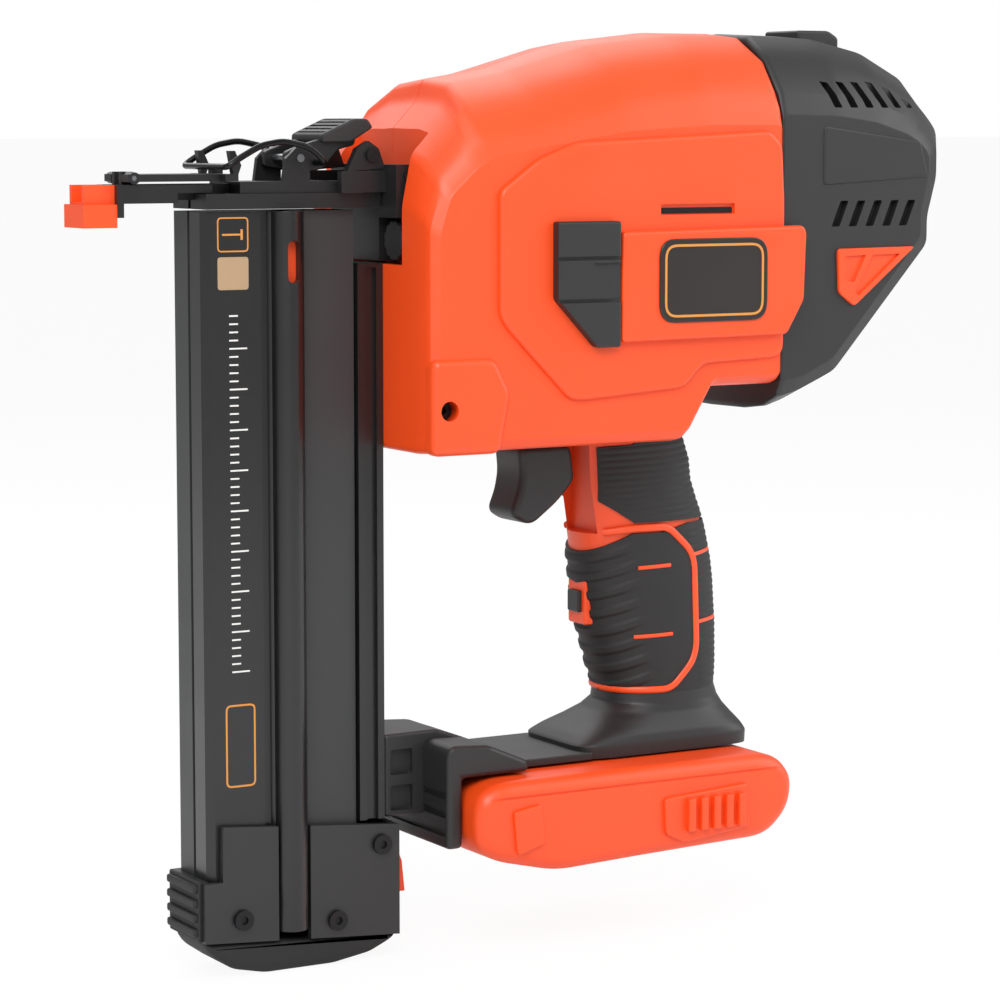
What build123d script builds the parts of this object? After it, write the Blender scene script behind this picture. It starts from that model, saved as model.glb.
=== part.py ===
from build123d import *
import os

# Cordless brad nailer, millimetres.  +Z up, nose towards -X, operator's left side towards -Y.
# The origin is under the middle of the tool, on the surface that the magazine foot stands on.

# ---- driving dimensions -------------------------------------------------------------------
DRIVE_Z = 244.9          # axis of the driver blade
TIP_X = -150.5           # front face of the contact tip
REAR_X = 150.5           # rear face of the cap
FRONT_X = -51.5          # front face of the housing
SEAM_X = 78.0            # joint between housing and rear cap
WALL = 3.0               # moulded wall
CORE_HALF = 40.0         # half width of the housing's main body
PANEL_HALF = 44.0        # half width over the raised side panels
COVER_HALF = 47.5        # half width over the side covers
BADGE_HALF = 48.5        # half width over the badges
GRIP_HALF = 17.0         # half width of the rubber grips
HANDLE_HALF = 13.0       # half width of the handle core
MAG_TOP = 238.0          # top of the magazine profiles
MAG_BOTTOM = 13.0        # bottom of the magazine profiles
MAG_HALF = 10.5          # half width of the magazine
MAG_FRONT = -113.0       # front edge of the magazine
CHANNEL_HALF = 0.8       # half width of the brad channel
SHIELD_HALF = 13.0       # half width over the magazine shield
WHEEL_X, WHEEL_Z, WHEEL_R = 3.0, 215.0, 24.0   # flywheel
ROD_Y, ROD_R = 11.0, 2.5                       # guide rods
RUNNING = 0.05           # radial clearance of running fits
BATTERY_TOP = 57.7
BATTERY_HALF = 37.5
FOOT_BASE = 58.3
LEVER_X, LEVER_Z = -80.2, 254.1                # latch lever pivot
BAIL_X, BAIL_Z = -74.0, 252.6                  # latch bail pivot in the lever
DOOR_X, DOOR_Z = -134.5, 248.3                 # jam door hinge


# ---- helpers ------------------------------------------------------------------------------
def side_prism(points, y_low, y_high, inset=0.0):
    """Solid with an outline drawn in X and Z, filling y_low to y_high; inset shrinks it."""
    with BuildPart() as piece:
        with BuildSketch(Plane.XZ.offset(-y_high)):
            with BuildLine():
                Polyline(*points, close=True)
            make_face()
            if inset:
                offset(amount=-inset, kind=Kind.INTERSECTION, mode=Mode.REPLACE)
        extrude(amount=y_high - y_low)
    return piece.part


def block(x, y, z):
    """Box between the two values given for each axis."""
    with BuildPart() as piece:
        with BuildSketch(Plane.XY.offset(z[0])):
            with Locations(((x[0] + x[1]) / 2, (y[0] + y[1]) / 2)):
                Rectangle(x[1] - x[0], y[1] - y[0])
        extrude(amount=z[1] - z[0])
    return piece.part


def round_y(x, z, radius, y_low, y_high):
    """Cylinder along Y."""
    with BuildPart() as piece:
        with BuildSketch(Plane.XZ.offset(-y_high)):
            with Locations((x, z)):
                Circle(radius)
        extrude(amount=y_high - y_low)
    return piece.part


def round_x(y, z, radius, x_low, x_high):
    """Cylinder along X."""
    with BuildPart() as piece:
        with BuildSketch(Plane.YZ.offset(x_low)):
            with Locations((y, z)):
                Circle(radius)
        extrude(amount=x_high - x_low)
    return piece.part


def span(side, inner, outer):
    """Y limits of a piece that lies between two distances from the middle, on one side."""
    return (inner, outer) if side > 0 else (-outer, -inner)


def save(builder, label):
    """Label a finished piece and write its STEP file."""
    builder.part.label = label
    export_step(builder.part, f"parts/{label}.step")


os.makedirs("parts", exist_ok=True)
SIDES = {"left": -1, "right": 1}

# ---- housing ------------------------------------------------------------------------------
BODY = [(FRONT_X, 163), (FRONT_X, 240), (-48, 257), (-33, 272), (-31, 279), (-11.5, 282.3),
        (19.4, 291), (50, 294.5), (SEAM_X, 294.5), (SEAM_X, 180), (50, 180), (40, 163)]
PANEL = [(-30, 262), (-30, 203), (-6, 179.5), (37, 181), (50, 189.3), (75.3, 191), (SEAM_X, 196),
         (SEAM_X, 268), (60, 276), (-10, 270)]
LOWER_BLOCK = [(FRONT_X, 163), (FRONT_X, 193), (-30, 193), (-25.5, 181), (-29.5, 163)]
HANDLE = [(22, 182), (22, 133), (27, 133), (28.5, 119.4), (31, 102.7), (36, 82.2), (38.5, 67),
          (74.5, 67), (74.5, 104), (72.5, 123), (66, 138.7), (64, 152), (50, 176), (50, 182)]
SCREW_SPOTS = {"left": [(-46.0, 177)],
               "right": [(-40, 212), (-20, 170), (-42, 236), (0, 263), (60, 265), (66, 196)]}
HEAD_R, SHANK_R = 3.0, 1.7

for name, side in SIDES.items():
    with BuildPart() as housing:
        add(side_prism(BODY, *span(side, 0, CORE_HALF)))
        add(side_prism(PANEL, *span(side, CORE_HALF, PANEL_HALF)))
        add(side_prism(LOWER_BLOCK, *span(side, CORE_HALF, PANEL_HALF)))
        add(side_prism(HANDLE, *span(side, 0, HANDLE_HALF)))
        add(side_prism(BODY, *span(side, 0, CORE_HALF - WALL), inset=WALL), mode=Mode.SUBTRACT)
        add(side_prism(PANEL, *span(side, CORE_HALF - WALL, PANEL_HALF - WALL), inset=5.0),
            mode=Mode.SUBTRACT)
        add(side_prism(HANDLE, *span(side, 0, HANDLE_HALF - WALL), inset=WALL), mode=Mode.SUBTRACT)
        add(block((24, 47), span(side, 0, HANDLE_HALF - WALL), (160, 185)), mode=Mode.SUBTRACT)
        add(block((36, 73), span(side, 0, HANDLE_HALF - WALL), (66, 72)), mode=Mode.SUBTRACT)
        add(block((FRONT_X - 1, -42), span(side, 0, 23.5), (221, 300)), mode=Mode.SUBTRACT)
        add(block((SEAM_X - WALL - 1, SEAM_X + 1), span(side, 0, CORE_HALF - WALL), (186, 288)),
            mode=Mode.SUBTRACT)
        add(block((-2, 30), span(side, 0, 9.5), (131, 166.5)), mode=Mode.SUBTRACT)
        add(block((22, 33.5), span(side, 0, 6.0), (88, 117)), mode=Mode.SUBTRACT)
        for spot in SCREW_SPOTS[name]:
            add(round_y(*spot, HEAD_R, *span(side, CORE_HALF - WALL, COVER_HALF)),
                mode=Mode.SUBTRACT)
    save(housing, f"housing_{name}")

with BuildPart() as housing_screws:
    for name, side in SIDES.items():
        for spot in SCREW_SPOTS[name]:
            add(round_y(*spot, HEAD_R - RUNNING, *span(side, 37, 39.5)))
            add(round_y(*spot, SHANK_R, *span(side, 22, 37)))
            add(round_y(*spot, 1.2, *span(side, 38.2, 39.6)), mode=Mode.SUBTRACT)
save(housing_screws, "housing_screws")

CAP = [(SEAM_X, 294.5), (104, 294), (126, 290.2), (143, 281), (149.5, 272), (REAR_X, 266),
       (REAR_X, 244), (143.5, 232), (143.5, 222), (104, 180), (86, 172.6), (SEAM_X, 170), (69, 166),
       (60, 179.8), (SEAM_X, 179.8)]
with BuildPart() as rear_cap:
    add(side_prism(CAP, -42, 42))
    with BuildSketch(Plane.XZ.offset(-39)):
        with BuildLine():
            Polyline((SEAM_X - 1, 290.5), (104, 290), (124, 286), (140, 278), (147, 266),
                     (147, 246), (140, 232), (140, 223), (103, 184.5), (SEAM_X - 1, 184.5),
                     close=True)
        make_face()
    extrude(amount=78, mode=Mode.SUBTRACT)
    add(block((105.5, 124.2), (-10.5, 10.5), (288, 300)), mode=Mode.SUBTRACT)
save(rear_cap, "rear_cap")

RELEASE_X, RELEASE_Z = 121.0, 291.5            # stall release pivot
with BuildPart() as stall_release_lever:
    add(side_prism([(106, 289.4), (106, 295.7), (119, 295.7), (123, 293.4), (123, 289.4)], -10, 10))
    add(round_y(RELEASE_X, RELEASE_Z, 1.2, -10.4, 10.4))
save(stall_release_lever, "stall_release_lever")

with BuildPart() as cap_trims:
    for side in SIDES.values():
        add(side_prism([(99.5, 224), (130.8, 224.3), (106.4, 205), (100.1, 209.6)],
                       *span(side, 42, 43.5)))
save(cap_trims, "cap_trims")

COVER = [(14.4, 231), (83, 232), (83.2, 208), (77, 197), (14, 196.3)]
BUMPER = [(-9.6, 234.5), (13.4, 234.4), (13.4, 195), (5, 195), (-9.6, 210.4)]
BADGE_X, BADGE_Z = (27.5, 68.5), (202.0, 228.5)
for name, side in SIDES.items():
    with BuildPart() as side_cover:
        add(side_prism(COVER, *span(side, PANEL_HALF, COVER_HALF)))
    save(side_cover, f"side_cover_{name}")
    with BuildPart() as side_bumper:
        add(side_prism(BUMPER, *span(side, PANEL_HALF, COVER_HALF + 0.5)))
        for slat in range(2):
            groove = 208.5 + slat * 12.5
            add(block((-10, 14), span(side, COVER_HALF - 1, COVER_HALF + 1), (groove, groove + 1.4)),
                mode=Mode.SUBTRACT)
    save(side_bumper, f"side_bumper_{name}")

with BuildPart() as badge_plates:
    for side in SIDES.values():
        with BuildSketch(Plane.XZ.offset(-BADGE_HALF if side > 0 else COVER_HALF)):
            with Locations((sum(BADGE_X) / 2, sum(BADGE_Z) / 2)):
                RectangleRounded(BADGE_X[1] - BADGE_X[0], BADGE_Z[1] - BADGE_Z[0], 5)
        extrude(amount=BADGE_HALF - COVER_HALF)
save(badge_plates, "badge_plates")

# ---- handle, grips, trigger ---------------------------------------------------------------
LOWER_GRIP = [(24, 132), (25.2, 119.4), (28, 102.7), (34, 82.2), (36.2, 76), (77.2, 76),
              (77.4, 104), (75.5, 123), (72.8, 132)]
UPPER_GRIP = [(31, 132.2), (72, 132.2), (69.6, 138.7), (66.9, 152.4), (56, 176), (52, 178),
              (50, 178), (42.5, 166), (40.5, 162.8), (31, 162.8)]
with BuildPart() as lower_grip:
    add(side_prism(LOWER_GRIP, -GRIP_HALF, GRIP_HALF))
    add(side_prism(HANDLE, -HANDLE_HALF, HANDLE_HALF), mode=Mode.SUBTRACT)
    add(block((20, 36), (-6, 6), (88, 117)), mode=Mode.SUBTRACT)
save(lower_grip, "lower_grip")
with BuildPart() as upper_grip:
    add(side_prism(UPPER_GRIP, -GRIP_HALF, GRIP_HALF))
    add(side_prism(HANDLE, -HANDLE_HALF, HANDLE_HALF), mode=Mode.SUBTRACT)
save(upper_grip, "upper_grip")

TRIGGER_X, TRIGGER_Z = 15.0, 158.5             # trigger pivot
with BuildPart() as trigger:
    add(side_prism([(-0.7, 161), (0.4, 150.2), (-3.7, 139.1), (4.9, 135.3), (20.8, 149),
                    (18.9, 161)], -9, 9))
    add(round_y(TRIGGER_X, TRIGGER_Z, 2.0, -9.4, 9.4))
    add(block((6, 22), (-5, 5), (146, 162)), mode=Mode.SUBTRACT)
save(trigger, "trigger")
with BuildPart() as lock_off_slider:
    add(block((26, 32.5), (-5.5, 5.5), (100, 116)))
    add(block((24.5, 26), (-3.5, 3.5), (104, 112)))
save(lock_off_slider, "lock_off_slider")
with BuildPart() as trigger_switch:
    add(block((32, 46), (-8, 8), (138, 158)))
    add(block((30.4, 32), (-3, 3), (146, 152)))
save(trigger_switch, "trigger_switch")

FOOT = [(-8, FOOT_BASE), (-8, 61), (12, 61), (16, 64.5), (28, 71.5), (33, 75.8), (78.5, 75.8),
        (81, 70), (84, 64), (84, FOOT_BASE)]
with BuildPart() as battery_foot:
    add(side_prism(FOOT, -21, 21))
    add(side_prism(HANDLE, -HANDLE_HALF, HANDLE_HALF), mode=Mode.SUBTRACT)
    add(block((20, 80), (-17, 17), (61, 67)), mode=Mode.SUBTRACT)
save(battery_foot, "battery_foot")
with BuildPart() as control_board:
    add(block((22, 78), (-15, 15), (62, 63.6)))
    for chip in range(4):
        add(block((25 + chip * 13, 33 + chip * 13), (-8, 8), (63.6, 65.6)))
save(control_board, "control_board")

NECK = [(-51.6, 45), (-51.6, 71.8), (-33, 72), (-23, 68.5), (-8.2, 62), (-8.2, 58.4),
        (-32.6, 58.4), (-32.6, 45)]
with BuildPart() as support_bracket:
    add(side_prism(NECK, -11, 11))
    add(side_prism([(-38, 36), (-38, 67), (-23, 68.5), (-8.2, 62), (-8.2, 58.4), (-32.6, 58.4),
                    (-32.6, 36)], -28, 28))
    for side in SIDES.values():
        for pocket in range(2):
            low = 47 + pocket * 11
            add(block((-50, -42), span(side, 8, 12), (low, low + 8)), mode=Mode.SUBTRACT)
save(support_bracket, "support_bracket")

# ---- battery ------------------------------------------------------------------------------
BATTERY = [(-32, 36), (-32, 54), (-28, BATTERY_TOP), (78, BATTERY_TOP), (86, 55), (90, 49),
           (88, 38), (80, 29), (-2, 26.5), (-24, 31)]
with BuildPart() as battery_case:
    add(side_prism(BATTERY, -BATTERY_HALF, BATTERY_HALF))
    add(side_prism(BATTERY, -BATTERY_HALF + 2.5, BATTERY_HALF - 2.5, inset=2.5), mode=Mode.SUBTRACT)
    add(block((80, 95), (-12, 12), (40, 52)), mode=Mode.SUBTRACT)
save(battery_case, "battery_case")
CELL_R = 9.1
with BuildPart() as battery_cells:
    for cell in range(5):
        add(round_y(-12 + cell * (2 * CELL_R + 0.6), 43.0, CELL_R, -32.5, 32.5))
save(battery_cells, "battery_cells")
with BuildPart() as battery_button:
    add(block((81.5, 91), (-11.5, 11.5), (40.5, 51.5)))
save(battery_button, "battery_button")

# ---- magazine -----------------------------------------------------------------------------
with BuildPart() as magazine_track:
    add(block((MAG_FRONT, -61.2), (CHANNEL_HALF, MAG_HALF), (MAG_BOTTOM, MAG_TOP)))
    add(block((-79, -61.2), (-9.5, CHANNEL_HALF), (MAG_BOTTOM, MAG_TOP)))
    add(block((-61.2, -60.5), (-6, 6), (46, 221)))
    add(block((-79.1, -62.5), (-CHANNEL_HALF, CHANNEL_HALF), (0, 250)), mode=Mode.SUBTRACT)
save(magazine_track, "magazine_track")

with BuildPart() as mounting_rail:
    add(block((-60.5, -51.7), (-11, 11), (45, 221.5)))
    for side in SIDES.values():
        add(block((-58, -54), span(side, 9.5, 12), (44, 220)), mode=Mode.SUBTRACT)
save(mounting_rail, "mounting_rail")

COLUMN_X = (-90.0, -79.3)
with BuildPart() as magazine_cover:
    add(block((MAG_FRONT, COLUMN_X[1]), (-MAG_HALF, -CHANNEL_HALF), (MAG_BOTTOM, MAG_TOP)))
    with BuildSketch(Plane.XY.offset(MAG_BOTTOM)):
        with Locations((sum(COLUMN_X) / 2, -8.3)):
            SlotOverall(15, COLUMN_X[1] - COLUMN_X[0] - 0.02, rotation=90)
    extrude(amount=MAG_TOP - MAG_BOTTOM)
    add(block((-88.3, -81), (-12.5, 0), (MAG_BOTTOM + 8, MAG_TOP + 1)), mode=Mode.SUBTRACT)
    add(block((-86.6, -82.6), (-17, -12), (216, 229)), mode=Mode.SUBTRACT)
    add(block((-120, -70), (-CHANNEL_HALF, 2), (0, 250)), mode=Mode.SUBTRACT)
save(magazine_cover, "magazine_cover")

with BuildPart() as nail_follower:
    add(block((-88, -81.3), (-12.2, 0.5), (214, 233)))
    add(block((-110, -64), (-0.5, 0.5), (214, 230)))
save(nail_follower, "nail_follower")

SHIELD = [(-115.7, 12.2), (-115.7, 31), (-109.5, 31), (-109.2, 48.4), (-47.5, 43), (-47.5, 7.3)]
with BuildPart() as magazine_shield:
    add(side_prism(SHIELD, -SHIELD_HALF, SHIELD_HALF))
    add(block((-113.2, -50), (-10.7, 10.7), (0, 60)), mode=Mode.SUBTRACT)
    add(block((-90.3, -79.1), (-20, -10), (0, 60)), mode=Mode.SUBTRACT)
    add(block((-52, -40), (-5.5, 5.5), (17, 38)), mode=Mode.SUBTRACT)
save(magazine_shield, "magazine_shield")

SHIELD_SCREWS = [(-102.8, 18.5), (-70, 14.5), (-54, 37.2)]
with BuildPart() as shield_screws:
    for side in SIDES.values():
        for spot in SHIELD_SCREWS:
            add(round_y(*spot, 3.2, *span(side, SHIELD_HALF, SHIELD_HALF + 1.4)))
            add(round_y(*spot, 1.3, *span(side, SHIELD_HALF + 0.5, SHIELD_HALF + 2)),
                mode=Mode.SUBTRACT)
save(shield_screws, "shield_screws")

MAG_FOOT = [(-115.5, 12.1), (-106, 3), (-94, 0), (-70, 0), (-56, 2.5), (-47.5, 7.2)]
with BuildPart() as magazine_foot:
    add(side_prism(MAG_FOOT, -12, 12))
save(magazine_foot, "magazine_foot")

with BuildPart() as pull_plate:
    add(block((-117, -115.7), (-11, 11), (12.2, 31.5)))
    for rib in range(4):
        add(block((-118.3, -117), (-10, 10), (14 + rib * 4.6, 16.2 + rib * 4.6)))
save(pull_plate, "pull_plate")

CATCH_X, CATCH_Z = -47.8, 36.2                 # magazine catch pivot
with BuildPart() as magazine_latch:
    add(side_prism([(-47.3, 19), (-49, 36.8), (-45.6, 36.8), (-42.4, 29), (-41.4, 19)], -5, 5))
    add(round_y(CATCH_X, CATCH_Z, 1.2, -5.3, 5.3))
save(magazine_latch, "magazine_latch")

# ---- nose ---------------------------------------------------------------------------------
GROOVE_HALF = 1.3
with BuildPart() as nose_plate:
    add(block((-112.5, -52.9), (-12, 12), (238.7, 243.4)))
    add(block((-137, -100.7), (-3.4, 3.4), (243.4, 246.4)))
    add(block((-112.5, -100.7), (-3.4, 3.4), (243, 246.4)))
    add(block((-137, -112.4), (-3.4, 3.4), (241.5, 246.4)))
    for side in SIDES.values():
        add(block((-136.5, -132.5), span(side, GROOVE_HALF + 0.4, 3.4), (246.3, 250.2)))
    add(block((-140, -50), (-GROOVE_HALF, GROOVE_HALF), (244.0, 251)), mode=Mode.SUBTRACT)
    add(block((-116, -62.5), (-0.9, 0.9), (230, 245)), mode=Mode.SUBTRACT)
    add(round_y(DOOR_X, DOOR_Z, 0.8, -10, 10), mode=Mode.SUBTRACT)
save(nose_plate, "nose_plate")

with BuildPart() as nose_guide:
    add(block((-100.6, -64.7), (-11, 11), (243.45, 247)))
    add(block((-102, -60), (-GROOVE_HALF, GROOVE_HALF), (243, 246)), mode=Mode.SUBTRACT)
    for side in SIDES.values():
        add(side_prism([(-86, 247), (-85, 254), (-81.5, 257.2), (-78.5, 257.2), (-76.8, 254.5),
                        (-76.8, 247)], *span(side, 9.2, 11)))
    add(round_y(LEVER_X, LEVER_Z, 1.25, -12, 12), mode=Mode.SUBTRACT)
save(nose_guide, "nose_guide")

with BuildPart() as door_hinge_pin:
    add(round_y(DOOR_X, DOOR_Z, 0.8, -8.8, -GROOVE_HALF - 0.4))
    add(round_y(DOOR_X, DOOR_Z, 0.8, GROOVE_HALF + 0.4, 8.8))
save(door_hinge_pin, "door_hinge_pins")

with BuildPart() as jam_door:
    add(block((-136.6, -101.9), (-9, 9), (247.2, 249.4)))
    add(round_y(DOOR_X, DOOR_Z, 1.8, -9, 9))
    add(block((-140, -130.8), (-3.8, 3.8), (240, 260)), mode=Mode.SUBTRACT)
    add(round_y(DOOR_X, DOOR_Z, 0.8 + RUNNING, -10, 10), mode=Mode.SUBTRACT)
    for side in SIDES.values():
        add(block((-106.2, -101.9), span(side, 8.5, 12.7), (247.2, 249.4)))
        add(side_prism([(-103.6, 249.3), (-104.9, 256.4), (-103, 256.4), (-100.9, 252), (-101.9, 249.3)],
                       *span(side, 10.3, 12.7)))
    add(block((-105.4, -101.9), (-1.6, 1.6), (248.6, 250.6)))
save(jam_door, "jam_door")

with BuildPart() as latch_pin:
    add(round_y(LEVER_X, LEVER_Z, 1.25, -11.6, 11.6))
save(latch_pin, "latch_pin")
LEVER = [(-84, 250.8), (-84, 256), (-78, 258.4), (-70, 260.5), (-60, 262), (-60, 257.6),
         (-66, 256.6), (-71.5, 250), (-76, 249.6)]
PADDLE = [(-72.4, 258.6), (-72.4, 261.6), (-61.4, 266.6), (-56.4, 266.6), (-54.4, 263.4),
          (-62.4, 258.6)]
with BuildPart() as latch_lever:
    for side in SIDES.values():
        add(side_prism(LEVER, *span(side, 6, 9)))
    add(side_prism(PADDLE, -11, 11))
    add(round_y(LEVER_X, LEVER_Z, 1.25 + RUNNING, -12, 12), mode=Mode.SUBTRACT)
    add(round_y(BAIL_X, BAIL_Z, 1.0 + RUNNING, -12, 12), mode=Mode.SUBTRACT)
save(latch_lever, "latch_lever")

WIRE_R = 1.0
BAIL_Y = 16.0
BAIL_SIDE = [(BAIL_X, BAIL_Z), (-79.5, 257.2), (-88.4, 259.3), (-99.6, 256.0), (-107.0, 251.6)]
with BuildPart() as latch_bail:
    with BuildLine():
        FilletPolyline((BAIL_X, -6.5, BAIL_Z), *[(x, -BAIL_Y, z) for x, z in BAIL_SIDE],
                       *[(x, BAIL_Y, z) for x, z in reversed(BAIL_SIDE)], (BAIL_X, 6.5, BAIL_Z),
                       radius=1.6)
    with BuildSketch(Plane((BAIL_X, -6.5, BAIL_Z), z_dir=(0, -1, 0))):
        Circle(WIRE_R)
    sweep()
save(latch_bail, "latch_bail")

with BuildPart() as contact_arm:
    for side in SIDES.values():
        add(block((-139.6, -120), span(side, 4, 8), (240.7, 246.3)))
        add(block((-139.6, -137.6), span(side, 3.8, 8), (236.5, 242.8)))
        add(block((-121, -108.5), span(side, 4, 8), (243.7, 246.3)))
    add(block((-139.6, -137.6), (-8, 8), (236.5, 241.1)))
save(contact_arm, "contact_arm")
with BuildPart() as contact_tip:
    add(block((TIP_X, -139.6), (-7.5, 7.5), (233.5, 240.5)))
    add(block((TIP_X + 1, -139.6), (-5.5, 5.5), (240.5, 246.3)))
    add(block((TIP_X - 1, -139), (-3.8, 3.8), (241.1, 250)), mode=Mode.SUBTRACT)
save(contact_tip, "contact_tip")

with BuildPart() as nose_frame:
    add(block((-52.7, -42.1), (-22, 22), (235.6, 252)))
    add(block((-51.4, -43), (-8, 20), (222, 235.6)))
    for side in SIDES.values():
        add(block((-68, -52), span(side, 12.3, 15), (243.5, 250)))
        add(side_prism([(-66, 249.9), (-62.5, 257), (-58.5, 259.3), (-55, 257), (-52.8, 251)],
                       *span(side, 12.3, 15)))
    add(block((-56, -40), (-2, 2), (243.4, 246.6)), mode=Mode.SUBTRACT)
save(nose_frame, "nose_frame")
with BuildPart() as frame_pins:
    for side in SIDES.values():
        add(round_y(-57.5, 254.9, 2.2, *span(side, 15, 16.2)))
        add(round_y(-47.8, 248.5, 2.4, *span(side, 22, 23.2)))
save(frame_pins, "frame_pins")

with BuildPart() as depth_wheel:
    add(round_x(-16.5, 228.5, 6.0, -50.8, -44))
    with BuildSketch(Plane.YZ.offset(-51)):
        with Locations((-16.5, 228.5)):
            with PolarLocations(6.2, 12):
                Circle(0.7)
    extrude(amount=8, mode=Mode.SUBTRACT)
save(depth_wheel, "depth_wheel")

# ---- drive --------------------------------------------------------------------------------
PLATE = [(-41.9, 222), (-41.9, 255), (-34, 262), (76, 262), (76, 236), (40, 200), (20, 190), (-14, 190),
         (-38, 210)]
with BuildPart() as drive_frame:
    for side in SIDES.values():
        add(side_prism(PLATE, *span(side, 18, 21)))
    add(block((-41.9, -38), (-21, 21), (222, 255)))
    add(block((73, 76), (-21, 21), (236, 262)))
    add(block((-45, -30), (-2, 2), (243.4, 246.6)), mode=Mode.SUBTRACT)
    for y in (-ROD_Y, ROD_Y):
        add(round_x(y, DRIVE_Z, ROD_R, -43, 77), mode=Mode.SUBTRACT)
    add(round_y(WHEEL_X, WHEEL_Z, 6, -22, 22), mode=Mode.SUBTRACT)
    add(round_y(36, 257, 1.5, -22, 22), mode=Mode.SUBTRACT)
save(drive_frame, "drive_frame")
with BuildPart() as guide_rods:
    for y in (-ROD_Y, ROD_Y):
        add(round_x(y, DRIVE_Z, ROD_R, -41.9, 76))
save(guide_rods, "guide_rods")
with BuildPart() as stroke_bumpers:
    for y in (-ROD_Y, ROD_Y):
        add(round_x(y, DRIVE_Z, 5.5, -38, -36))
        add(round_x(y, DRIVE_Z, ROD_R, -39, -30), mode=Mode.SUBTRACT)
save(stroke_bumpers, "stroke_bumpers")
with BuildPart() as driver_carriage:
    add(block((58, 72), (-15, 15), (240, 250)))
    for y in (-ROD_Y, ROD_Y):
        add(round_x(y, DRIVE_Z, ROD_R + RUNNING, 50, 80), mode=Mode.SUBTRACT)
save(driver_carriage, "driver_carriage")
with BuildPart() as driver_blade:
    add(block((-65, 58), (-1, 1), (DRIVE_Z - 0.6, DRIVE_Z + 0.6)))
save(driver_blade, "driver_blade")

with BuildPart() as flywheel:
    add(round_y(WHEEL_X, WHEEL_Z, WHEEL_R, -7, 7))
    for groove in range(3):
        rim_y = -4.5 + groove * 4
        add(round_y(WHEEL_X, WHEEL_Z, WHEEL_R + 1, rim_y, rim_y + 1), mode=Mode.SUBTRACT)
        add(round_y(WHEEL_X, WHEEL_Z, WHEEL_R - 1, rim_y, rim_y + 1))
    add(round_y(WHEEL_X, WHEEL_Z, 3, -8, 8), mode=Mode.SUBTRACT)
save(flywheel, "flywheel")
with BuildPart() as flywheel_shaft:
    add(round_y(WHEEL_X, WHEEL_Z, 3, -34, 21))
save(flywheel_shaft, "flywheel_shaft")
with BuildPart() as flywheel_bearings:
    for side in SIDES.values():
        add(round_y(WHEEL_X, WHEEL_Z, 6, *span(side, 18, 21)))
    add(round_y(WHEEL_X, WHEEL_Z, 3 + RUNNING, -22, 22), mode=Mode.SUBTRACT)
save(flywheel_bearings, "flywheel_bearings")
with BuildPart() as drive_motor:
    add(round_y(WHEEL_X, WHEEL_Z, 18, -36.5, -21.2))
    add(round_y(WHEEL_X, WHEEL_Z, 3.5, -40, -20), mode=Mode.SUBTRACT)
save(drive_motor, "drive_motor")

ROLLER_X, ROLLER_Z, ROLLER_R = 3.0, 258.0, 5.0
with BuildPart() as pinch_arm:
    for side in SIDES.values():
        add(side_prism([(0, 260), (2, 263), (36, 261), (39, 257), (36, 254.5), (2, 255)],
                       *span(side, 6, 8)))
    add(block((28, 34), (-6, 6), (255.5, 260)))
    add(round_y(ROLLER_X, ROLLER_Z, 1.5 + RUNNING, -10, 10), mode=Mode.SUBTRACT)
    add(round_y(36, 257, 1.5 + RUNNING, -10, 10), mode=Mode.SUBTRACT)
save(pinch_arm, "pinch_arm")
with BuildPart() as pinch_pivot:
    add(round_y(36, 257, 1.5, -21, 21))
save(pinch_pivot, "pinch_pivot")
with BuildPart() as pinch_roller:
    add(round_y(ROLLER_X, ROLLER_Z, ROLLER_R, -5, 5))
    add(round_y(ROLLER_X, ROLLER_Z, 1.5, -8.5, 8.5))
save(pinch_roller, "pinch_roller")
with BuildPart() as engage_solenoid:
    add(block((44, 66), (-9, 9), (264, 282)))
    add(round_y(50, 273, 6, -12, 12))
save(engage_solenoid, "engage_solenoid")
with BuildPart() as motor_controller:
    add(block((96, 98), (-30, 30), (200, 278)))
    add(block((98, 106), (-22, 22), (215, 262)))
save(motor_controller, "motor_controller")
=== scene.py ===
"""Cordless brad nailer: modelled shells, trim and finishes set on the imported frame.

Lengths in this file are millimetres; MM turns them into metres when a mesh is made.
+Z is up, the nose points to -X and the operator's left side is -Y.
"""

import logging
import math
from collections.abc import Sequence
from dataclasses import dataclass
from enum import Enum

import bmesh
import bpy
import numpy as np
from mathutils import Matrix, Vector

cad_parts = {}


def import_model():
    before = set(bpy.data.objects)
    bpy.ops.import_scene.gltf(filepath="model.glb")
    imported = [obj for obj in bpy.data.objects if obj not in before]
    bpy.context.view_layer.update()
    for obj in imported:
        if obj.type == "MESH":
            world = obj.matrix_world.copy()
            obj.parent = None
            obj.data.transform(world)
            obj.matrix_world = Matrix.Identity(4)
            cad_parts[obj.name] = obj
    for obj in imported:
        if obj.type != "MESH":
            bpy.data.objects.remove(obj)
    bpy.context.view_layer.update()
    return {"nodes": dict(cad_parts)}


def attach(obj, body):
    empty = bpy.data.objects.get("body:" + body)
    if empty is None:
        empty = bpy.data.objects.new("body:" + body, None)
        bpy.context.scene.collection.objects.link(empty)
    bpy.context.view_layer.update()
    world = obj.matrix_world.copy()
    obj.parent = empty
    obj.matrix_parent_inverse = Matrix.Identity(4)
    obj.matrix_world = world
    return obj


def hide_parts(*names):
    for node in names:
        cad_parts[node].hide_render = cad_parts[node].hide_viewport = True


LOG = logging.getLogger("brad_nailer")
MM = 0.001
SHARP = 30.0
Points = Sequence[tuple[float, float]]
Piece = bpy.types.Object


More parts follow.
